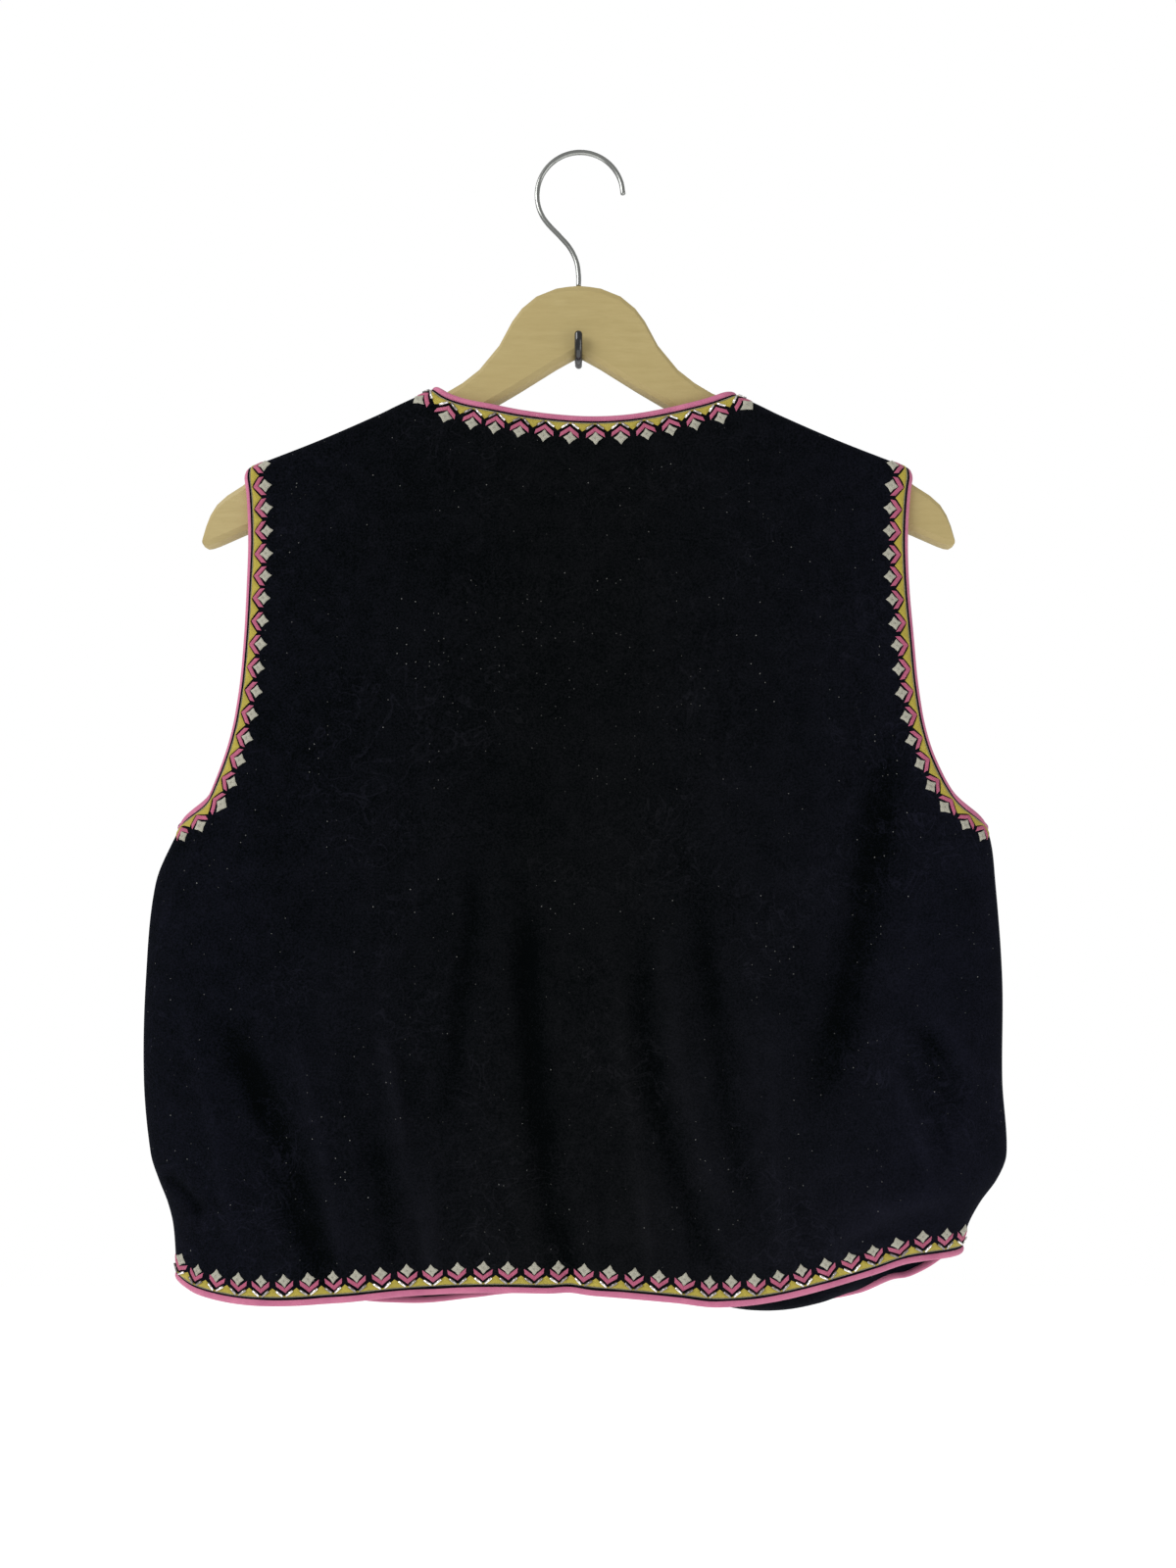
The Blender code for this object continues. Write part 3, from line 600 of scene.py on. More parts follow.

# %% [markdown]
# The solid shows the large folds alone. The small ones are listed here: soft troughs
# and ridges of uneven depth, with a few more of the same kind on the fronts, which nobody
# sees in the photograph.

# %% Small folds
BACK_FOLDS += [
    Fold(-0.0600, -0.330, -0.0680, -0.440, 0.002, 0.0035, -0.0006),
    Fold(-0.0480, -0.508, -0.0350, -0.552, 0.001, 0.0036, -0.0012),
    Fold(-0.0150, -0.500, -0.0120, -0.565, 0.001, 0.0030, 0.0010),
    Fold(0.0120, -0.505, 0.0160, -0.566, 0.000, 0.0032, -0.0010),
    Fold(0.0330, -0.500, 0.0400, -0.568, 0.001, 0.0034, 0.0009),
    Fold(0.0600, -0.515, 0.0660, -0.570, 0.000, 0.0030, -0.0010),
    Fold(0.0950, -0.520, 0.1010, -0.565, 0.001, 0.0032, 0.0009),
    Fold(0.1850, -0.445, 0.2120, -0.505, 0.003, 0.0040, -0.0019),
    Fold(0.1950, -0.430, 0.2220, -0.470, 0.002, 0.0036, -0.0016),
    Fold(0.1780, -0.455, 0.2010, -0.520, 0.002, 0.0034, 0.0015),
    Fold(0.2030, -0.420, 0.2280, -0.455, 0.002, 0.0030, 0.0014),
    Fold(0.1420, -0.560, 0.1900, -0.552, 0.005, 0.0036, 0.0014),
    Fold(0.1260, -0.520, 0.1700, -0.505, 0.007, 0.0040, 0.0012),
    Fold(-0.1010, -0.440, -0.0900, -0.560, 0.002, 0.0040, -0.0014),
    Fold(-0.1620, -0.430, -0.1330, -0.560, 0.003, 0.0045, 0.0014),
    Fold(-0.2250, -0.420, -0.1960, -0.550, 0.003, 0.0050, 0.0013),
    Fold(0.0230, -0.400, 0.0420, -0.555, -0.003, 0.0045, 0.0013),
    Fold(0.1080, -0.420, 0.1180, -0.560, -0.002, 0.0050, 0.0012),
    Fold(0.1300, -0.540, 0.1750, -0.528, 0.006, 0.0045, 0.0014),
    Fold(0.1600, -0.215, 0.1520, -0.290, 0.001, 0.0060, -0.0007),
    Fold(0.1220, -0.235, 0.1300, -0.305, 0.001, 0.0060, -0.0006),
    Fold(0.0560, -0.275, 0.0600, -0.345, 0.000, 0.0060, -0.0006),
    Fold(-0.1950, -0.465, -0.1500, -0.540, 0.002, 0.0042, 0.0016),
    Fold(-0.2380, -0.516, -0.2150, -0.536, 0.002, 0.0040, -0.0022),
    Fold(-0.2120, -0.318, -0.2420, -0.378, -0.003, 0.0028, 0.0009),
    Fold(0.2150, -0.338, 0.2270, -0.358, 0.001, 0.0035, -0.0008),
    Fold(-0.1330, -0.440, -0.1180, -0.520, 0.001, 0.0040, -0.0009),
    Fold(-0.0850, -0.500, -0.0790, -0.565, 0.001, 0.0036, 0.0009),
]
FRONT_FOLDS += [
    Fold(-0.1050, -0.480, -0.0980, -0.585, 0.002, 0.0040, 0.0014),
    Fold(-0.0350, -0.500, -0.0300, -0.585, 0.001, 0.0035, -0.0012),
    Fold(-0.2150, -0.350, -0.2050, -0.430, 0.002, 0.0045, -0.0014),
    Fold(-0.1700, -0.200, -0.1550, -0.290, 0.002, 0.0070, -0.0009),
    Fold(0.0300, -0.490, 0.0360, -0.590, 0.001, 0.0036, 0.0012),
    Fold(0.0980, -0.470, 0.1050, -0.600, 0.002, 0.0045, -0.0015),
    Fold(0.2100, -0.360, 0.2180, -0.430, 0.002, 0.0045, -0.0014),
    Fold(0.1680, -0.205, 0.1520, -0.300, 0.002, 0.0070, -0.0009),
]
print("folds on the back and the fronts:", len(BACK_FOLDS), len(FRONT_FOLDS))

# %% [markdown]
# Between the rows of a table the sizes follow one smooth curve. The next helpers read the
# tables that way, and add up the folds at a place.

# %% Read the tables


def read(rows, key, value, at):
    places = [getattr(row, key) for row in rows]
    values = [getattr(row, value) for row in rows]
    if at <= places[0]:
        return values[0]
    if at >= places[-1]:
        return values[-1]
    last = len(rows) - 1
    n = max(i for i in range(last) if places[i] <= at)

    def slope(i):
        a = max(i - 1, 0)
        b = min(i + 1, last)
        return (values[b] - values[a]) / (places[b] - places[a])

    step = places[n + 1] - places[n]
    t = (at - places[n]) / step
    start = values[n] * (2 * t**3 - 3 * t**2 + 1) + slope(n) * step * (t**3 - 2 * t**2 + t)
    end = values[n + 1] * (3 * t**2 - 2 * t**3) + slope(n + 1) * step * (t**3 - t**2)
    return start + end


def ease(t):
    t = min(max(t, 0.0), 1.0)
    return t * t * (3 - 2 * t)


def shoulder_height(x):
    return read(SHOULDER, "reach", "height", abs(x))


def half_width(side, height):
    return read(SECTIONS, "height", "left" if side < 0 else "right", height)


def turn_at(x, height, front=False):
    turn = math.asin(min(abs(x) / half_width(x, height), 1.0))
    if front:
        turn = math.pi - turn
    return math.copysign(turn, x)


# A fold starts a little before its head, ends a little past its foot, and fades at both
FOLD_PAST = 0.12
HEAD_SOFT = 0.35
FOOT_SOFT = 0.25


def fold_rise(folds, x, height):
    total = 0.0
    for fold in folds:
        run_x = fold.foot_x - fold.head_x
        run_z = fold.foot_z - fold.head_z
        length = math.hypot(run_x, run_z)
        away_x = x - fold.head_x
        away_z = height - fold.head_z
        along = (away_x * run_x + away_z * run_z) / length**2
        across = (away_z * run_x - away_x * run_z) / length
        middle = min(max(along, 0.0), 1.0)
        across -= fold.bow * 4 * middle * (1 - middle)
        fade = ease((along + FOLD_PAST) / HEAD_SOFT) * ease((1 + FOLD_PAST - along) / FOOT_SOFT)
        total += fold.rise * fade * math.exp(-((across / fold.width) ** 2))
    return total


# %% [markdown]
# The form itself: a soft box section that is deep in the middle and rounded at the sides.
# Near the shoulders it closes over the hanger's board in a half round. The right front's
# hem curls towards the wall over part of its length, as its edge is bound tightly.

# %% The form of the cloth
# Folds die away towards the side seams, sooner with a smaller number
SIDE_FADE = 2.5
CURL_LEAST = 0.02


# One place on the cloth: its outer face, or a face that lies inset below it
def cloth(turn, height, inset=0.0):
    side = math.copysign(1.0, math.sin(turn))
    behind = math.cos(turn) > 0
    sine = abs(math.sin(turn))
    across = side * (half_width(side, height) - inset) * sine
    full = read(SECTIONS, "height", "back" if behind else "front", height) - inset
    out = full * abs(math.cos(turn)) * math.sqrt(1 + sine * sine)
    drop = max(shoulder_height(across) - height, 0.0)
    crest = CREST_DEPTH - inset
    if drop < CREST_RISE:
        crest *= math.sqrt(max(1 - (1 - drop / CREST_RISE) ** 2, 0.0))
    out = crest + (out - crest) * ease(drop / SETTLE)
    folds = BACK_FOLDS if behind else FRONT_FOLDS
    out += fold_rise(folds, across, height) * min(1.0, abs(math.cos(turn)) * SIDE_FADE)
    level = height
    if inset > 0 and drop < CREST_RISE:
        level -= inset * (1 - drop / CREST_RISE)
    if not behind and side > 0:
        level, out = curl_hem(across, level, out, inset)
    out = max(out, SEAM_GAP / 2)
    return Vector((across, HANGER_Y - out if behind else HANGER_Y + out, level))


def curl_hem(x, height, out, inset):
    share = read(CURL, "x", "share", x)
    start = read(FRONT_HEM, "x", "height", x) + CURL_LENGTH
    below = start - height
    if share < CURL_LEAST or below <= 0:
        return height, out
    swing = below * share / CURL_RADIUS
    radius = CURL_RADIUS / share + inset
    return start - radius * math.sin(swing), out + radius * (1 - math.cos(swing))


# %% [markdown]
# A panel is bounded by four edges. Each edge is a chain of places on the cloth, and points
# are spread along a chain by length, so that the cells come out even.

# %% Chains of places
CHAIN_STEPS = 120


# Places (turn, height) at some shares of a chain's length on the cloth
def spread(chain, shares):
    points = [cloth(turn, height) for turn, height in chain]
    lengths = [0.0]
    for a, b in zip(points, points[1:]):
        lengths.append(lengths[-1] + (b - a).length)
    spots = []
    for share in shares:
        want = share * lengths[-1]
        n = 0
        while n < len(chain) - 2 and lengths[n + 1] < want:
            n += 1
        t = (want - lengths[n]) / (lengths[n + 1] - lengths[n])
        spots.append(tuple(chain[n][k] + (chain[n + 1][k] - chain[n][k]) * t for k in (0, 1)))
    return spots


def steps(start, end, count):
    return [start + (end - start) * i / count for i in range(count + 1)]


Knot = namedtuple("Knot", "at turn height")


def smooth_chain(points, count=CHAIN_STEPS):
    knots = [Knot(float(i), turn, height) for i, (turn, height) in enumerate(points)]
    places = steps(0, len(points) - 1, count)
    return [(read(knots, "at", "turn", at), read(knots, "at", "height", at)) for at in places]


# %% [markdown]
# At the side seams the two sheets lie a hair apart, so that they never cut each other. The
# shoulders close in a half round, whose places are given by their drop below the top.

# %% Seams, shoulders and armholes
SEAM_NUDGE = 0.001
NECK_LEAN = 0.6
CREST_CELLS = 7


def seam_place(side, height, front):
    turn = side * QUARTER
    stretch = cloth(turn + SEAM_NUDGE, height) - cloth(turn - SEAM_NUDGE, height)
    pace = stretch.length / (2 * SEAM_NUDGE)
    away = SEAM_GAP / 2 / pace
    return turn + side * (away if front else -away), height


def hem_height(side, front):
    hem = FRONT_HEM if front else BACK_HEM
    return hem[0].height if side < 0 else hem[-1].height


def seam_chain(side, front):
    heights = steps(hem_height(side, front), UNDERARM_HEIGHT, CHAIN_STEPS)
    return [seam_place(side, height, front) for height in heights]


def crest_place(reach, drop, lean, side, front):
    x = reach - drop * lean
    height = shoulder_height(x) - drop
    return turn_at(side * x, height, front), height


def crest_drops():
    return [CREST_RISE * (1 - math.cos(angle)) for angle in steps(QUARTER, 0, CREST_CELLS)[1:]]


def crest_rows(reach, lean, side, front):
    return [crest_place(reach, drop, lean, side, front) for drop in crest_drops()]


def armhole_chain(side, front):
    key = "left" if side < 0 else "right"
    places = [seam_chain(side, front)[-1]]
    for row in FRONT_ARMHOLE if front else BACK_ARMHOLE:
        places.append((turn_at(side * getattr(row, key), row.height, front), row.height))
    places.append(crest_place(TIP_REACH, CREST_RISE, 0.0, side, front))
    return smooth_chain(places)


def shoulder_chain(start, end, front):
    chain = []
    for x in steps(start, end, CHAIN_STEPS):
        height = shoulder_height(x)
        chain.append((turn_at(x, height, front), height))
    return chain


# %% Neck, opening and hem
OPENING_ROWS = 6
HEM_ROUNDS = 4


def neck_chain():
    ends = [Point(x, shoulder_height(x)) for x in (NECK_LEFT, NECK_RIGHT)]
    places = [ends[0], *NECK, ends[1]]
    return smooth_chain([(turn_at(p.x, p.height), p.height) for p in places])


def opening_chain(side, neck):
    foot = read(FRONT_HEM, "x", "height", side * FRONT_GAP_HALF)
    low = FRONT_EDGE[0]
    places = [(low.reach, height) for height in steps(foot, low.height, OPENING_ROWS)]
    for row in FRONT_EDGE[1:]:
        places.append((row.reach * neck / -NECK_LEFT, row.height))
    chain = [(turn_at(side * reach, height, True), height) for reach, height in places]
    return smooth_chain([*chain, crest_place(neck, CREST_RISE, NECK_LEAN, side, True)])


# The hem's height depends on the place across, and that on the height: a few rounds settle it
def hem_chain(start, end, front):
    hem = FRONT_HEM if front else BACK_HEM
    chain = []
    for turn in steps(start, end, CHAIN_STEPS):
        height = hem[0].height
        for _ in range(HEM_ROUNDS):
            x = math.copysign(half_width(turn, height) * abs(math.sin(turn)), math.sin(turn))
            height = read(hem, "x", "height", x)
        chain.append((turn, height))
    return chain


# %% [markdown]
# A panel is a plain grid of faces, as a weaver's cloth is. Its columns run straight from
# hem to top, and only those near a side edge bend along with it. Each point then takes its
# place from the form. A Solidify modifier gives the cloth its thickness towards the body.

# %% A grid of faces, placed point by point


def laid_grid(bm, across, up, place):
    made = bmesh.ops.create_grid(bm, x_segments=across, y_segments=up, size=1.0)["verts"]
    spots = {}
    for vert in made:
        spots[vert] = (round((vert.co.x + 1) / 2 * across), round((vert.co.y + 1) / 2 * up))
    for vert, (i, j) in spots.items():
        vert.co = place(i, j)
    return spots


def write_map(bm, spots, unit_across, unit_up):
    layer = bm.loops.layers.uv.get("threads") or bm.loops.layers.uv.new("threads")
    for face in {face for vert in spots for face in vert.link_faces}:
        for loop in face.loops:
            i, j = spots[loop.vert]
            loop[layer].uv = (i * unit_across, j * unit_up)


# How high each point stands on a fold, kept as painted fold shade for the velvet: 0 is a deep
# trough, painted black, 1 a high ridge, painted grey
PAINTED_FOLD_RANGE = 0.0070


def write_painted_fold_map(bm, folds):
    layer = bm.loops.layers.uv.new("nap")
    for vert in bm.verts:
        rise = fold_rise(folds, vert.co.x, vert.co.z)
        shade = min(max(0.5 + rise / PAINTED_FOLD_RANGE, 0.0), 1.0)
        for loop in vert.link_loops:
            loop[layer].uv = (shade, 0.5)


def put_in_scene(name, bm, materials, slot):
    mesh = bpy.data.meshes.new(name)
    bm.to_mesh(mesh)
    bm.free()
    mesh.shade_smooth()
    for made in materials:
        mesh.materials.append(made)
    piece = bpy.data.objects.new(name, mesh)
    bpy.context.scene.collection.objects.link(piece)
    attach(piece, "root")
    return piece


# %% [markdown]
# The rows of a panel are closer where the form bends more: at the hem, and over the
# shoulder. Shares of the way up from 0 to 1 keep the rows of all three panels alike.

# %% Rows and side edges
SHOULDER_CELLS = 46
NECK_CELLS = 128
FRONT_CELLS = 100
LOW_CELLS = 15
SEAM_CELLS = 80
ARMHOLE_CELLS = 74
LOW_SHARE = 0.0531
UNDERARM_SHARE = 0.54
CREST_SHARE = 0.9837


def row_shares():
    low = steps(0, LOW_SHARE, LOW_CELLS)
    seam = steps(LOW_SHARE, UNDERARM_SHARE, SEAM_CELLS)[1:]
    armhole = steps(UNDERARM_SHARE, CREST_SHARE, ARMHOLE_CELLS)[1:]
    return low + seam + armhole


def side_places(side, front):
    shares = row_shares()
    start = LOW_CELLS + SEAM_CELLS
    low = spread(seam_chain(side, front), [share / UNDERARM_SHARE for share in shares[: start + 1]])
    high = spread(armhole_chain(side, front), steps(0, 1, ARMHOLE_CELLS)[1:])
    return low + high + crest_rows(TIP_REACH, 0.0, side, front)


def opening_places(side):
    neck = -NECK_LEFT if side < 0 else NECK_RIGHT
    shares = row_shares()
    places = spread(opening_chain(side, neck), [share / shares[-1] for share in shares])
    return places + crest_rows(neck, NECK_LEAN, side, True)


# %% Fill a panel between its four edges
EDGE_POWER = 3
SHEET_SHARE = 0.9


def crest_shares():
    return [1 - drop * (1 - CREST_SHARE) / CREST_RISE for drop in crest_drops()]


# The hem's row of places, eased to end exactly where the two side edges start
def fit_foot(foot, first, last):
    fitted = []
    for i, place in enumerate(foot):
        u = i / (len(foot) - 1)
        start = [(1 - u) ** EDGE_POWER * (first[0][k] - foot[0][k]) for k in (0, 1)]
        end = [u**EDGE_POWER * (last[0][k] - foot[-1][k]) for k in (0, 1)]
        fitted.append(tuple(place[k] + start[k] + end[k] for k in (0, 1)))
    return fitted


def panel(name, foot, top, first, last, turn_over, folds):
    columns = len(foot) - 1
    rows = row_shares() + crest_shares()

    def place(i, j):
        u = i / columns
        v = rows[j]
        spot = []
        for k in (0, 1):
            straight = (1 - v) * foot[i][k] + v * top[i][k]
            bend_first = first[j][k] - (1 - v) * foot[0][k] - v * top[0][k]
            bend_last = last[j][k] - (1 - v) * foot[-1][k] - v * top[-1][k]
            spot.append(straight + (1 - u) ** EDGE_POWER * bend_first + u**EDGE_POWER * bend_last)
        return cloth(*spot)

    bm = bmesh.new()
    laid_grid(bm, columns, len(rows) - 1, place)
    write_painted_fold_map(bm, folds)
    if turn_over:
        bmesh.ops.reverse_faces(bm, faces=bm.faces)
    piece = put_in_scene(name, bm, [velvet], "velvet")
    wall = piece.modifiers.new("thickness", "SOLIDIFY")
    wall.thickness = WALL * SHEET_SHARE
    wall.offset = -1.0
    return piece


# %% [markdown]
# The back is one cut piece. Its top runs along the left shoulder, round the neck and out
# along the right shoulder. The two fronts mirror each other in cut, but not in their folds.

# %% The three panels
shoulder = steps(0, 1, SHOULDER_CELLS)
back_top = spread(shoulder_chain(-TIP_REACH, NECK_LEFT, False), shoulder)
back_top += spread(neck_chain(), steps(0, 1, NECK_CELLS))[1:]
back_top += spread(shoulder_chain(NECK_RIGHT, TIP_REACH, False), shoulder)[1:]
back_left = side_places(-1, False)
back_right = side_places(1, False)
back_cells = steps(0, 1, len(back_top) - 1)
back_foot = spread(hem_chain(back_left[0][0], back_right[0][0], False), back_cells)
back_foot = fit_foot(back_foot, back_left, back_right)
back = panel("vest_back", back_foot, back_top, back_left, back_right, False, BACK_FOLDS)

front_cells = steps(0, 1, FRONT_CELLS)
front_edges = {}
for side, name in ((-1, "vest_front_left"), (1, "vest_front_right")):
    neck_x = NECK_LEFT if side < 0 else NECK_RIGHT
    top = spread(shoulder_chain(side * TIP_REACH, neck_x, True), front_cells)
    outer = side_places(side, True)
    opening = opening_places(side)
    foot = spread(hem_chain(outer[0][0], opening[0][0], True), front_cells)
    foot = fit_foot(foot, outer, opening)
    panel(name, foot, top, outer, opening, side < 0, FRONT_FOLDS)
    front_edges[side] = (foot, outer, opening)
print("faces on the back:", len(back.data.polygons))

# %% [markdown]
# The binding is a folded strip that hugs the cut edge. Its section is a flattened round,
# swept along the edge just beyond the panel. Hand sewing never keeps it even, so its width
# and height waver a little from place to place.

# %% Sweep a section along a line
Ring = namedtuple("Ring", "centre across upward")
GIRTH_MM = 6000


def sweep(bm, rings, sides, closed=False):
    count = len(rings)

    def place(i, j):
        here = rings[i % count]
        angle = math.tau * j / sides
        return here.centre + here.across * math.cos(angle) + here.upward * math.sin(angle)

    spots = laid_grid(bm, count if closed else count - 1, sides, place)
    run = sum((b.centre - a.centre).length for a, b in zip(rings, rings[1:])) * 1000
    write_map(bm, spots, run / count, rings[0].across.length * GIRTH_MM / sides)
    bmesh.ops.remove_doubles(bm, verts=bm.verts, dist=1e-6)
    if not closed:
        bmesh.ops.holes_fill(bm, edges=[edge for edge in bm.edges if edge.is_boundary], sides=sides)
    bmesh.ops.recalc_face_normals(bm, faces=bm.faces)


# %% Bind an edge
Bound = namedtuple("Bound", "name nodes width reach closed")
BINDING_HIGH = 0.0016
BINDING_SIDES = 12
LEAST_STEP = 0.0011
WAVER_EVERY = 7
WIDTH_WAVER = 0.05
HEIGHT_WAVER = 0.04


def edge_pairs(places):
    return [(cloth(*place), cloth(*place, WALL)) for place in places]


def bind(bound, runs, seed):
    chance = random.Random(seed)
    pairs = [pair for run in runs for pair in run]
    middles = [(outer + inner) / 2 for outer, inner in pairs]
    kept = [0]
    for k in range(1, len(middles)):
        if (middles[k] - middles[kept[-1]]).length > LEAST_STEP:
            kept.append(k)
    if bound.closed and (middles[kept[-1]] - middles[0]).length < LEAST_STEP:
        kept.pop()
    waver = [chance.uniform(-1, 1) for _ in range(len(kept) // WAVER_EVERY + 3)]
    rings = []
    count = len(kept)
    for n, k in enumerate(kept):
        before = kept[(n - 1) % count if bound.closed else max(n - 1, 0)]
        after = kept[(n + 1) % count if bound.closed else min(n + 1, count - 1)]
        along = (middles[after] - middles[before]).normalized()
        up = (pairs[k][0] - pairs[k][1]).normalized()
        beyond = along.cross(up).normalized()
        up = beyond.cross(along).normalized()
        t = n / WAVER_EVERY
        uneven = waver[int(t)] + (waver[int(t) + 1] - waver[int(t)]) * ease(t % 1)
        wide = bound.width / 2 * (1 + WIDTH_WAVER * uneven)
        high = BINDING_HIGH * (1 + HEIGHT_WAVER * uneven)
        centre = middles[k] + beyond * (bound.reach - wide)
        rings.append(Ring(centre, beyond * wide, up * high))
    bm = bmesh.new()
    sweep(bm, rings, BINDING_SIDES, bound.closed)
    piece = put_in_scene(bound.name, bm, [binding], "binding")
    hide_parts(*bound.nodes)
    return piece


# %% [markdown]
# One strip runs round the neck and down both front edges, one along the whole hem, and
# one round each armhole. Each stands for the binding nodes of the solid along its way.

# %% Bound edges
neck_edge = back_top[SHOULDER_CELLS : SHOULDER_CELLS + NECK_CELLS + 1]
arm_from = LOW_CELLS + SEAM_CELLS
right_foot, right_outer, right_opening = front_edges[1]
left_foot, left_outer, left_opening = front_edges[-1]
neck_way = [right_opening, neck_edge[::-1], left_opening[::-1]]
hem_way = [left_foot[::-1], back_foot, right_foot]
left_way = [left_outer[arm_from:] + back_left[arm_from:][::-1]]
right_way = [back_right[arm_from:] + right_outer[arm_from:][::-1]]
NECK_NODES = ("binding_neck", "binding_front_left", "binding_front_right")
HEM_NODES = ("binding_hem_back", "binding_hem_left", "binding_hem_right")
BOUND = [
    (Bound("bound_neck", NECK_NODES, 0.0034, 0.0033, False), neck_way),
    (Bound("bound_hem", HEM_NODES, 0.0043, 0.0034, False), hem_way),
    (Bound("bound_armhole_left", ("binding_armhole_left",), 0.0046, 0.0042, True), left_way),
    (Bound("bound_armhole_right", ("binding_armhole_right",), 0.0046, 0.0042, True), right_way),
]
BINDING_SEED = 3
for seed, (bound, way) in enumerate(BOUND, BINDING_SEED):
    bind(bound, [edge_pairs(places) for places in way], seed)

# %% [markdown]
# The embroidered border follows every edge. It is easiest to draw flat, as a distance
# along the edge, a depth into the cloth and a height over it, and then to lay on the
# cloth. For that each edge gets a ladder of places: from each point on the edge, short
# steps into the cloth that stay on its form, also where it turns over a shoulder.

# %% Steps into the cloth
LADDER_STEP = 0.002
LADDER_RUNGS = 9
STATION = 0.0016
NUDGE = 0.0002
TURN_NUDGE = 3 * NUDGE
SKIN_START = -0.1
SKIN_ROUNDS = 3


# A run is measured along the cloth from the top of the shoulder, a drop straight down
def drop_of(run):
    if run < CREST_RISE * QUARTER:
        return CREST_RISE * (1 - math.cos(max(run, 0.0) / CREST_RISE))
    return CREST_RISE + run - CREST_RISE * QUARTER


def run_of(drop):
    if drop < CREST_RISE:
        return CREST_RISE * math.acos(1 - max(drop, 0.0) / CREST_RISE)
    return CREST_RISE * QUARTER + drop - CREST_RISE


def skin(turn, run):
    height = SKIN_START
    for _ in range(SKIN_ROUNDS):
        reach = half_width(turn, height) * abs(math.sin(turn))
        height = shoulder_height(reach) - drop_of(run)
    return cloth(turn, height)


# A place on the skin, its two directions along the cloth, and the one that points away
def lean_of_skin(turn, run):
    here = skin(turn, run)
    step = math.copysign(TURN_NUDGE, -turn if math.cos(turn) > 0 else turn)
    round_body = (skin(turn + step, run) - here) / step
    down = (skin(turn, run + NUDGE) - here) / NUDGE
    return here, round_body, down, down.cross(round_body).normalized()


def ladder(chain, side):
    length = sum((cloth(*b) - cloth(*a)).length for a, b in zip(chain, chain[1:]))
    count = round(length / STATION)
    places = spread(chain, steps(0, 1, count))
    ends = [cloth(*place) for place in places]
    points = np.zeros((count + 1, LADDER_RUNGS, 3))
    normals = np.zeros((count + 1, LADDER_RUNGS, 3))
    for k, (turn, height) in enumerate(places):
        along = (ends[min(k + 1, count)] - ends[max(k - 1, 0)]).normalized()
        run = run_of(shoulder_height(ends[k].x) - height)
        inward = None
        for rung in range(LADDER_RUNGS):
            here, round_body, down, up = lean_of_skin(turn, run)
            points[k, rung] = here
            normals[k, rung] = up
            inward = up.cross(along) * side if inward is None else inward - up * inward.dot(up)
            inward.normalize()
            a, b, c = round_body.dot(round_body), round_body.dot(down), down.dot(down)
            p, q = inward.dot(round_body), inward.dot(down)
            whole = a * c - b * b
            turn += (p * c - q * b) / whole * LADDER_STEP
            run = max(run + (q * a - p * b) / whole * LADDER_STEP, 0.0)
    return points, normals, length


# Flat points (along, depth, height) go to their places between the rungs
def lay(flat, points, normals, length):
    a = np.clip(flat[:, 0] / length, 0, 1) * (len(points) - 1)
    b = np.clip(flat[:, 1] / LADDER_STEP, 0, LADDER_RUNGS - 1)
    i = np.minimum(a.astype(int), len(points) - 2)
    j = np.minimum(b.astype(int), LADDER_RUNGS - 2)
    f = (a - i)[:, None]
    g = (b - j)[:, None]
    laid = []
    for grid in (points, normals):
        near = grid[i, j] * (1 - f) + grid[i + 1, j] * f
        far = grid[i, j + 1] * (1 - f) + grid[i + 1, j + 1] * f
        laid.append(near * (1 - g) + far * g)
    return laid[0] + laid[1] * flat[:, 2:3]


# %% [markdown]
# One repeat of the border is a chevron with a diamond in its fork. The chevron's arms are
# two rows of satin stitch side by side. The diamond has its threads in four quarters that
# meet at a small knot. Both are low cushions of thread, so each is a few rows of faces.

# %% One repeat of the border
MM = 0.001
CHEVRON_TIP = 3.0
CHEVRON_RISE = 4.0
CHEVRON_HALF = 5.1
ARM_THICK = 2.9
ARM_CELLS = 5
ARM_FLARE = 0.25
ARM_BEND = 0.95
INNER_LEAN = 0.25
OUTER_LEAN = 0.35
END_LOW = 0.55
ARM_ROWS = [(0.0, -0.1), (0.2, 0.55), (0.45, 0.28), (0.72, 0.60), (1.0, -0.1)]
DIAMOND_MIDDLE = 10.3
DIAMOND_HALF = (3.75, 3.95)
DIAMOND_ROWS = [(0.02, 0.30), (0.20, 0.62), (0.80, 0.70), (1.0, -0.1)]
DIAMOND_SIDES = 16
DIAMOND_MAP = (1.35, 1.2)
TIPS_PULL = 0.13
RIM_AREA = 8 * MM * MM


def chevron_arm(bm, hand):
    def place(i, j):
        t = i / ARM_CELLS
        share, height = ARM_ROWS[j]
        s = hand * (CHEVRON_HALF * t - INNER_LEAN * share * (1 - t) + OUTER_LEAN * share * t)
        d = CHEVRON_TIP + CHEVRON_RISE * t**ARM_BEND + (ARM_THICK + ARM_FLARE * t) * share
        return Vector((s, d, height * (1 if 0 < t < 1 else END_LOW))) * MM

    spots = laid_grid(bm, ARM_CELLS, len(ARM_ROWS) - 1, place)
    write_map(bm, spots, CHEVRON_HALF / ARM_CELLS, ARM_THICK / (len(ARM_ROWS) - 1))
    if hand < 0:
        bmesh.ops.reverse_faces(bm, faces=bm.faces)


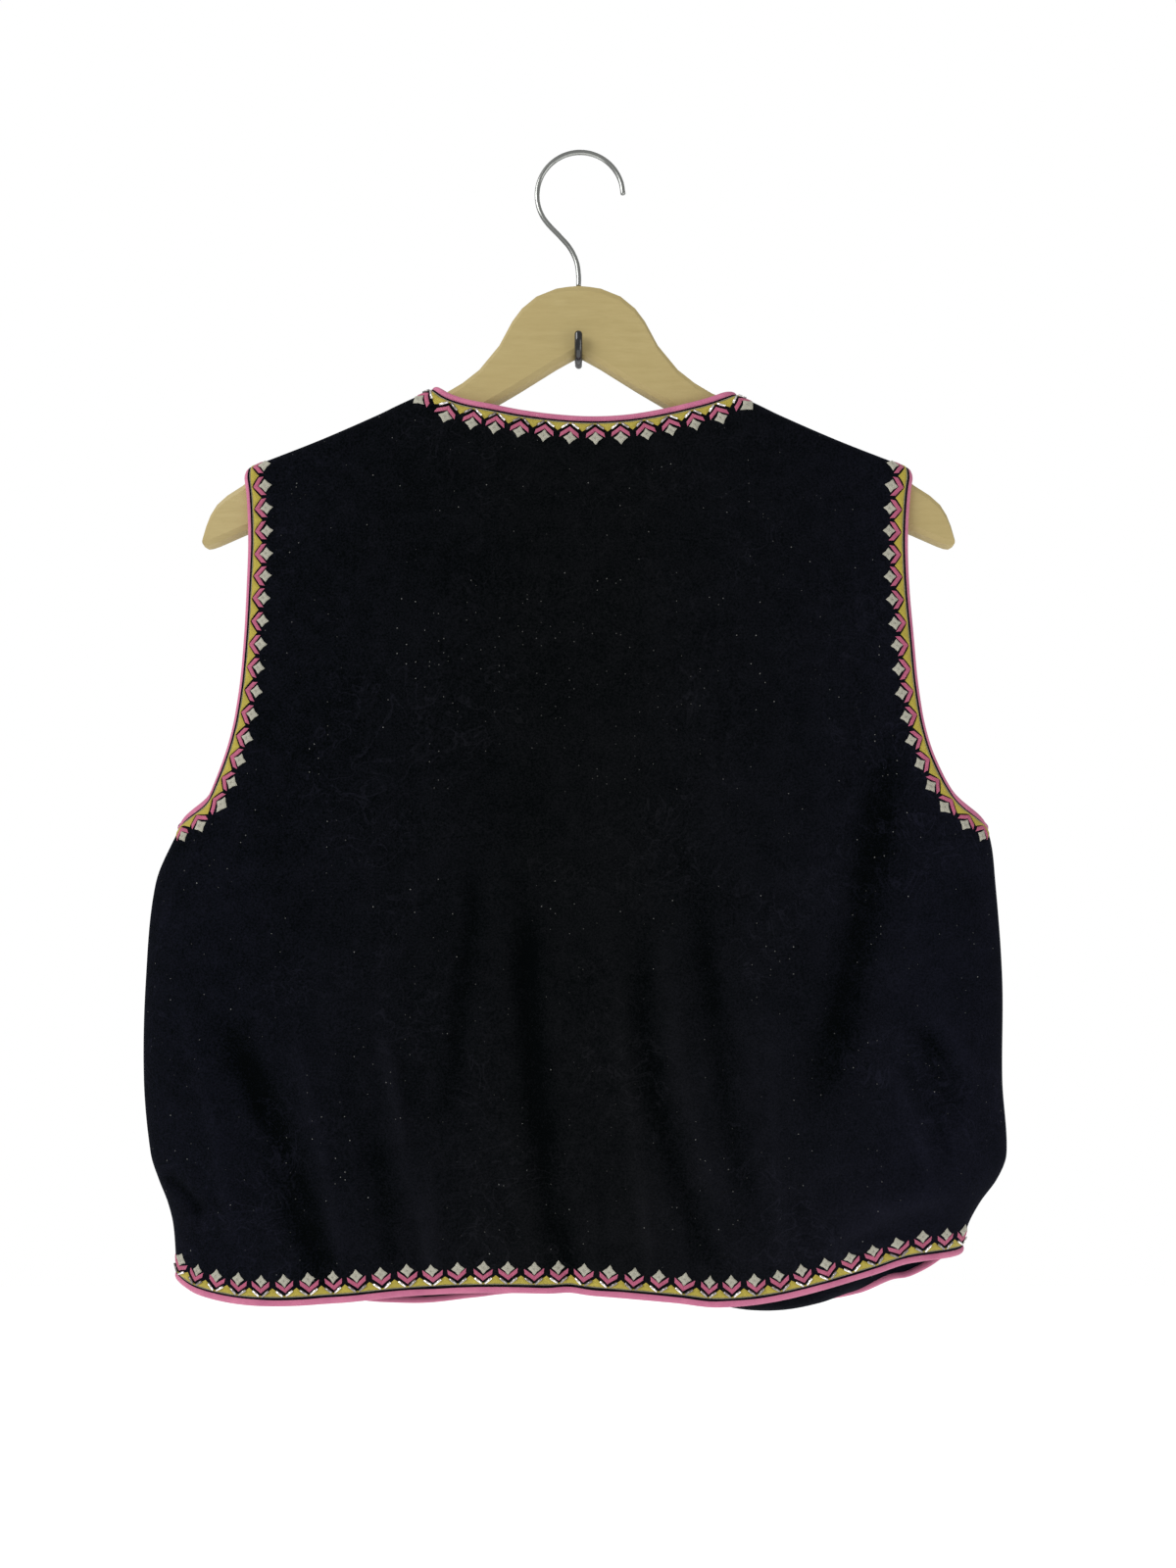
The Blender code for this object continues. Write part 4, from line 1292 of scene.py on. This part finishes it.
# The rim's face is only there while the normals are recalculated, to close the form
def diamond(bm):
    def place(i, j):
        angle = math.tau * i / DIAMOND_SIDES
        share, height = DIAMOND_ROWS[len(DIAMOND_ROWS) - 1 - j]
        quarter = abs(math.cos(angle)) + abs(math.sin(angle))
        out = share * (1 / quarter) * (1 - TIPS_PULL * math.sin(2 * angle) ** 2)
        s = DIAMOND_HALF[0] * out * math.cos(angle)
        d = DIAMOND_MIDDLE + DIAMOND_HALF[1] * out * math.sin(angle)
        return Vector((s, d, height)) * MM

    spots = laid_grid(bm, DIAMOND_SIDES, len(DIAMOND_ROWS) - 1, place)
    write_map(bm, spots, *DIAMOND_MAP)
    bmesh.ops.remove_doubles(bm, verts=bm.verts, dist=1e-6)
    open_edges = [edge for edge in bm.edges if edge.is_boundary]
    bmesh.ops.holes_fill(bm, edges=open_edges, sides=DIAMOND_SIDES)
    bmesh.ops.recalc_face_normals(bm, faces=bm.faces)
    rim = [f for f in bm.faces if len(f.verts) == DIAMOND_SIDES and f.calc_area() > RIM_AREA]
    bmesh.ops.delete(bm, geom=rim, context="FACES_ONLY")


# %% Join parts to a pattern


# Each part is drawn in a mesh of its own, so that its faces keep their map and tone
def join(bm, draw, *values):
    part = bmesh.new()
    part.loops.layers.uv.new("threads")
    draw(part, *values)
    holder = bpy.data.meshes.new("part")
    part.to_mesh(holder)
    part.free()
    bm.from_mesh(holder)
    bpy.data.meshes.remove(holder)


def pattern(label, tone, *parts):
    bm = bmesh.new()
    bm.loops.layers.uv.new("threads")
    for draw, *values in parts:
        join(bm, draw, *values)
    for face in bm.faces:
        face.material_index = tone
    made = bpy.data.meshes.new("pattern_" + label)
    bm.to_mesh(made)
    bm.free()
    print(label, "faces:", len(made.polygons))
    return made


Pattern = namedtuple("Pattern", "mesh middle")
CHEVRON_MIDDLE = CHEVRON_TIP + 3.2
PATTERNS = [
    Pattern(pattern("chevron", PINK, (chevron_arm, 1), (chevron_arm, -1)), CHEVRON_MIDDLE),
    Pattern(pattern("diamond", WHITE, (diamond,)), DIAMOND_MIDDLE),
]

# %% [markdown]
# Between the repeats a yellow band rises to points, over a thin pale line along its foot.
# Both are strips of a few rows of faces. The band's inner edge follows the repeats.

# %% Band and edge line
Strip = namedtuple("Strip", "tone low thin peak map_up rows")
LINE = Strip(PALE, 0.0, 1.0, 0.0, 0.3, [(0.75, -0.1), (1.05, 0.38), (1.40, -0.1)])
BAND = Strip(YELLOW, 1.25, 0.55, 4.7, 1.5, [(0.0, -0.1), (0.16, 0.45), (0.6, 0.50), (1.0, -0.1)])
STRIP_CELLS = 10
PEAK_BEND = 1.25


def draw_strip(bm, strip, count, pitch, lead):
    def place(i, j):
        share, height = strip.rows[j]
        off = abs(i / STRIP_CELLS % 1 - 0.5) * 2
        depth = strip.low + (strip.thin + strip.peak * off**PEAK_BEND) * share
        return Vector((i / STRIP_CELLS * pitch, lead + depth, height)) * MM

    spots = laid_grid(bm, count * STRIP_CELLS, len(strip.rows) - 1, place)
    write_map(bm, spots, pitch / STRIP_CELLS, strip.map_up)
    for face in bm.faces:
        face.material_index = strip.tone


# %% [markdown]
# Two glass bugle beads lie under each chevron's arms, at the neck, hems and front edges.
# Around the armholes there are none. Sizes are in millimetres, turns in degrees, and each
# pair is the least and the most that chance gives.

# %% Beads
BEAD_LONG = 5.0
BEAD_HALF = 0.66
BEAD_SIDES = 8
BEAD_HIGH = 0.70
BEAD_DEPTH = 3.45
BEAD_TURN = (-4, 4)
BEAD_OUT = (2.75, 3.1)
BEAD_IN = (-0.15, 0.15)
BEAD_SIZE = (0.93, 1.04)
BRIGHT_SHARE = 0.38
DARK_TONE = (0.10, 0.45)


def beads(bm, count, pitch, lead, chance):
    layer = bm.loops.layers.uv.new("threads")
    for n in range(count):
        for hand in (1, -1):
            turn = math.radians(chance.uniform(*BEAD_TURN))
            slope = math.atan2(CHEVRON_RISE, CHEVRON_HALF) + turn
            along = (n + 0.5) * pitch + hand * chance.uniform(*BEAD_OUT)
            depth = lead + BEAD_DEPTH + chance.uniform(*BEAD_IN)
            lie = Vector((math.cos(slope) * hand, math.sin(slope), 0.0)).to_track_quat("Z", "Y")
            turned = lie.to_matrix().to_4x4()
            turned.translation = Vector((along, depth, BEAD_HIGH)) * MM
            made = bmesh.ops.create_cone(
                bm, cap_ends=True, segments=BEAD_SIDES, matrix=turned,
                radius1=BEAD_HALF * MM, radius2=BEAD_HALF * MM,
                depth=BEAD_LONG * chance.uniform(*BEAD_SIZE) * MM,
            )["verts"]
            # A bright bead's white is a painted glint; the others take a dark tone of painted shade
            tone = 1.0 if chance.random() < BRIGHT_SHARE else chance.uniform(*DARK_TONE)
            for face in {face for vert in made for face in vert.link_faces}:
                for loop in face.loops:
                    loop[layer].uv = (0.0, tone)


# %% [markdown]
# A border is drawn flat along a straight line, then every point is laid on the cloth. Hand
# work is never quite even, so each repeat is turned, sized and shifted a little by chance.

# %% Lay a border along an edge
Border = namedtuple("Border", "name chain side kind")
REPEAT_TURN = (-4, 4)
REPEAT_SIZE = (0.95, 1.05)
SHIFT_ALONG = (-0.35, 0.35)
SHIFT_IN = (-0.25, 0.25)


def lay_mesh(name, bm, border, rungs, materials, slot):
    if border.side < 0:
        bmesh.ops.reverse_faces(bm, faces=bm.faces)
    piece = put_in_scene(name + border.name, bm, materials, slot)
    flat = np.zeros(len(piece.data.vertices) * 3)
    piece.data.vertices.foreach_get("co", flat)
    flat = flat.reshape(-1, 3)
    flat[:, 0] += border.kind.margin * MM
    piece.data.vertices.foreach_set("co", lay(flat, *rungs).ravel())
    piece.data.update()
    return piece


def stitch_border(border, seed):
    chance = random.Random(seed)
    kind = border.kind
    rungs = ladder(border.chain, border.side)
    room = rungs[2] / MM - kind.margin
    count = round(room / kind.pitch)
    pitch = room / count
    bm = bmesh.new()
    bm.loops.layers.uv.new("threads")
    for strip in (LINE, BAND):
        join(bm, draw_strip, strip, count, pitch, kind.lead)
    for n in range(count):
        for mesh, middle in PATTERNS:
            first = len(bm.verts)
            bm.from_mesh(mesh)
            bm.verts.ensure_lookup_table()
            turn = math.radians(chance.uniform(*REPEAT_TURN))
            size = chance.uniform(*REPEAT_SIZE)
            along = (n + 0.5) * pitch + chance.uniform(*SHIFT_ALONG)
            depth = middle + kind.lead - kind.nearer + chance.uniform(*SHIFT_IN)
            for vert in bm.verts[first:]:
                s, d = vert.co.x / MM * size, (vert.co.y / MM - middle) * size
                vert.co.x = (along + s * math.cos(turn) - d * math.sin(turn)) * MM
                vert.co.y = (depth + s * math.sin(turn) + d * math.cos(turn)) * MM
    made = [lay_mesh("stitched_", bm, border, rungs, flosses, "embroidery")]
    if kind.beaded:
        bm = bmesh.new()
        beads(bm, count, pitch, kind.lead, chance)
        made.append(lay_mesh("beads_", bm, border, rungs, [glass], "bead"))
    print(border.name, "repeats:", count, "pitch mm:", round(pitch, 2))
    return made


# %% [markdown]
# The borders follow the panels' own edges. Those on the fronts are hidden in the
# photograph, so they repeat what the back shows.

# %% All borders
Kind = namedtuple("Kind", "pitch lead margin nearer beaded")
ON_NECK = Kind(14.0, 0.1, 0.0, 0.0, True)
ON_OPENING = Kind(14.0, 0.1, 17.0, 0.0, True)
ON_HEM = Kind(14.0, 1.0, 0.0, 0.0, True)
ON_ARMHOLE = Kind(13.3, 0.35, 0.0, 1.1, False)
BACK_SEED = 20
FRONT_SEED = 40
back_borders = [
    Border("neck", neck_edge, -1, ON_NECK),
    Border("hem_back", back_foot, 1, ON_HEM),
    Border("armhole_back_left", back_left[arm_from:], -1, ON_ARMHOLE),
    Border("armhole_back_right", back_right[arm_from:], 1, ON_ARMHOLE),
]
on_back = []
for n, border in enumerate(back_borders):
    on_back += stitch_border(border, BACK_SEED + n)
on_fronts = {-1: [], 1: []}
for side, label in ((-1, "left"), (1, "right")):
    foot, outer, opening = front_edges[side]
    front_borders = [
        Border("hem_front_" + label, foot, side, ON_HEM),
        Border("armhole_front_" + label, outer[arm_from:], -side, ON_ARMHOLE),
        Border("opening_" + label, opening, side, ON_OPENING),
    ]
    for n, border in enumerate(front_borders):
        on_fronts[side] += stitch_border(border, FRONT_SEED + side + n)

# %% [markdown]
# The steel hook and the wall hook are round wires. The solids have few sides, so finer
# sweeps along the same lines stand for them. The board and the plate keep their solids
# and only take their finish.

# %% Sweep a wire with a rounded tip
Wire = namedtuple("Wire", "name node thick across tip made slot")
WIRE_SIDES = 18
TIP_TURN = math.radians(78)
TIP_RINGS = 5


def sweep_wire(wire, path):
    rings = []
    half = wire.thick / 2
    for n, point in enumerate(path):
        along = (path[min(n + 1, len(path) - 1)] - path[max(n - 1, 0)]).normalized()
        rings.append(Ring(point, wire.across * half, along.cross(wire.across) * half))
    last = rings[-1]
    along = (path[-1] - path[-2]).normalized()
    for angle in steps(0, TIP_TURN, TIP_RINGS)[1:]:
        share = math.cos(angle)
        centre = last.centre + along * math.sin(angle) * wire.tip
        rings.append(Ring(centre, last.across * share, last.upward * share))
    bm = bmesh.new()
    sweep(bm, rings, WIRE_SIDES)
    piece = put_in_scene(wire.name, bm, [wire.made], wire.slot)
    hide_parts(wire.node)
    print(wire.name, "rings:", len(rings))


# %% Steel hook: a short bent stem, then most of a circle, as (x, height)
STEEL_HOOK = Wire("steel_hook", "hanger_hook", 0.0029, Vector((0, 1, 0)), 0.0006, steel, "steel")
STEM = [(0.0, 0.0017), (0.0, 0.0080), (-0.0012, 0.0160), (-0.0050, 0.0240), (-0.0110, 0.0310)]
HOOK_X = 0.0009
HOOK_Z = 0.0550
HOOK_RADIUS = 0.0252
HOOK_TURNS = (math.radians(222), math.radians(2))
HOOK_POINTS = 14
HOOK_STEPS = 150
bow = []
for angle in steps(*HOOK_TURNS, HOOK_POINTS):
    bow.append((HOOK_X + HOOK_RADIUS * math.cos(angle), HOOK_Z + HOOK_RADIUS * math.sin(angle)))
hook_path = [Vector((x, HANGER_Y, z)) for x, z in smooth_chain(STEM + bow, HOOK_STEPS)]
sweep_wire(STEEL_HOOK, hook_path)

# %% Wall hook: out of the plate, down, and up again in front of the board, as (y, height)
BLACK_ROD = Wire("black_rod", "wall_hook", 0.0046, Vector((1, 0, 0)), 0.0021, enamel, "black_gloss")
ROD = [
    (-0.0043, -0.0060), (-0.0150, -0.0060), (-0.0240, -0.0070), (-0.0305, -0.0125),
    (-0.0332, -0.0220), (-0.0337, -0.0320), (-0.0352, -0.0388), (-0.0395, -0.0425),
    (-0.0450, -0.0431), (-0.0505, -0.0422), (-0.0540, -0.0385), (-0.0553, -0.0340),
    (-0.0556, -0.0303),
]
ROD_STEPS = 110
sweep_wire(BLACK_ROD, [Vector((0.0, y, z)) for y, z in smooth_chain(ROD, ROD_STEPS)])

# %% Board and plate
for node, made in (("hanger_board", wood), ("wall_plate", enamel)):
    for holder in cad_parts[node].material_slots:
        holder.material = made
print("finished solids: hanger_board, wall_plate")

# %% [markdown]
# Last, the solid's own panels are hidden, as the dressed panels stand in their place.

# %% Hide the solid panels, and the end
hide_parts("back")
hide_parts("front_left")
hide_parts("front_right")
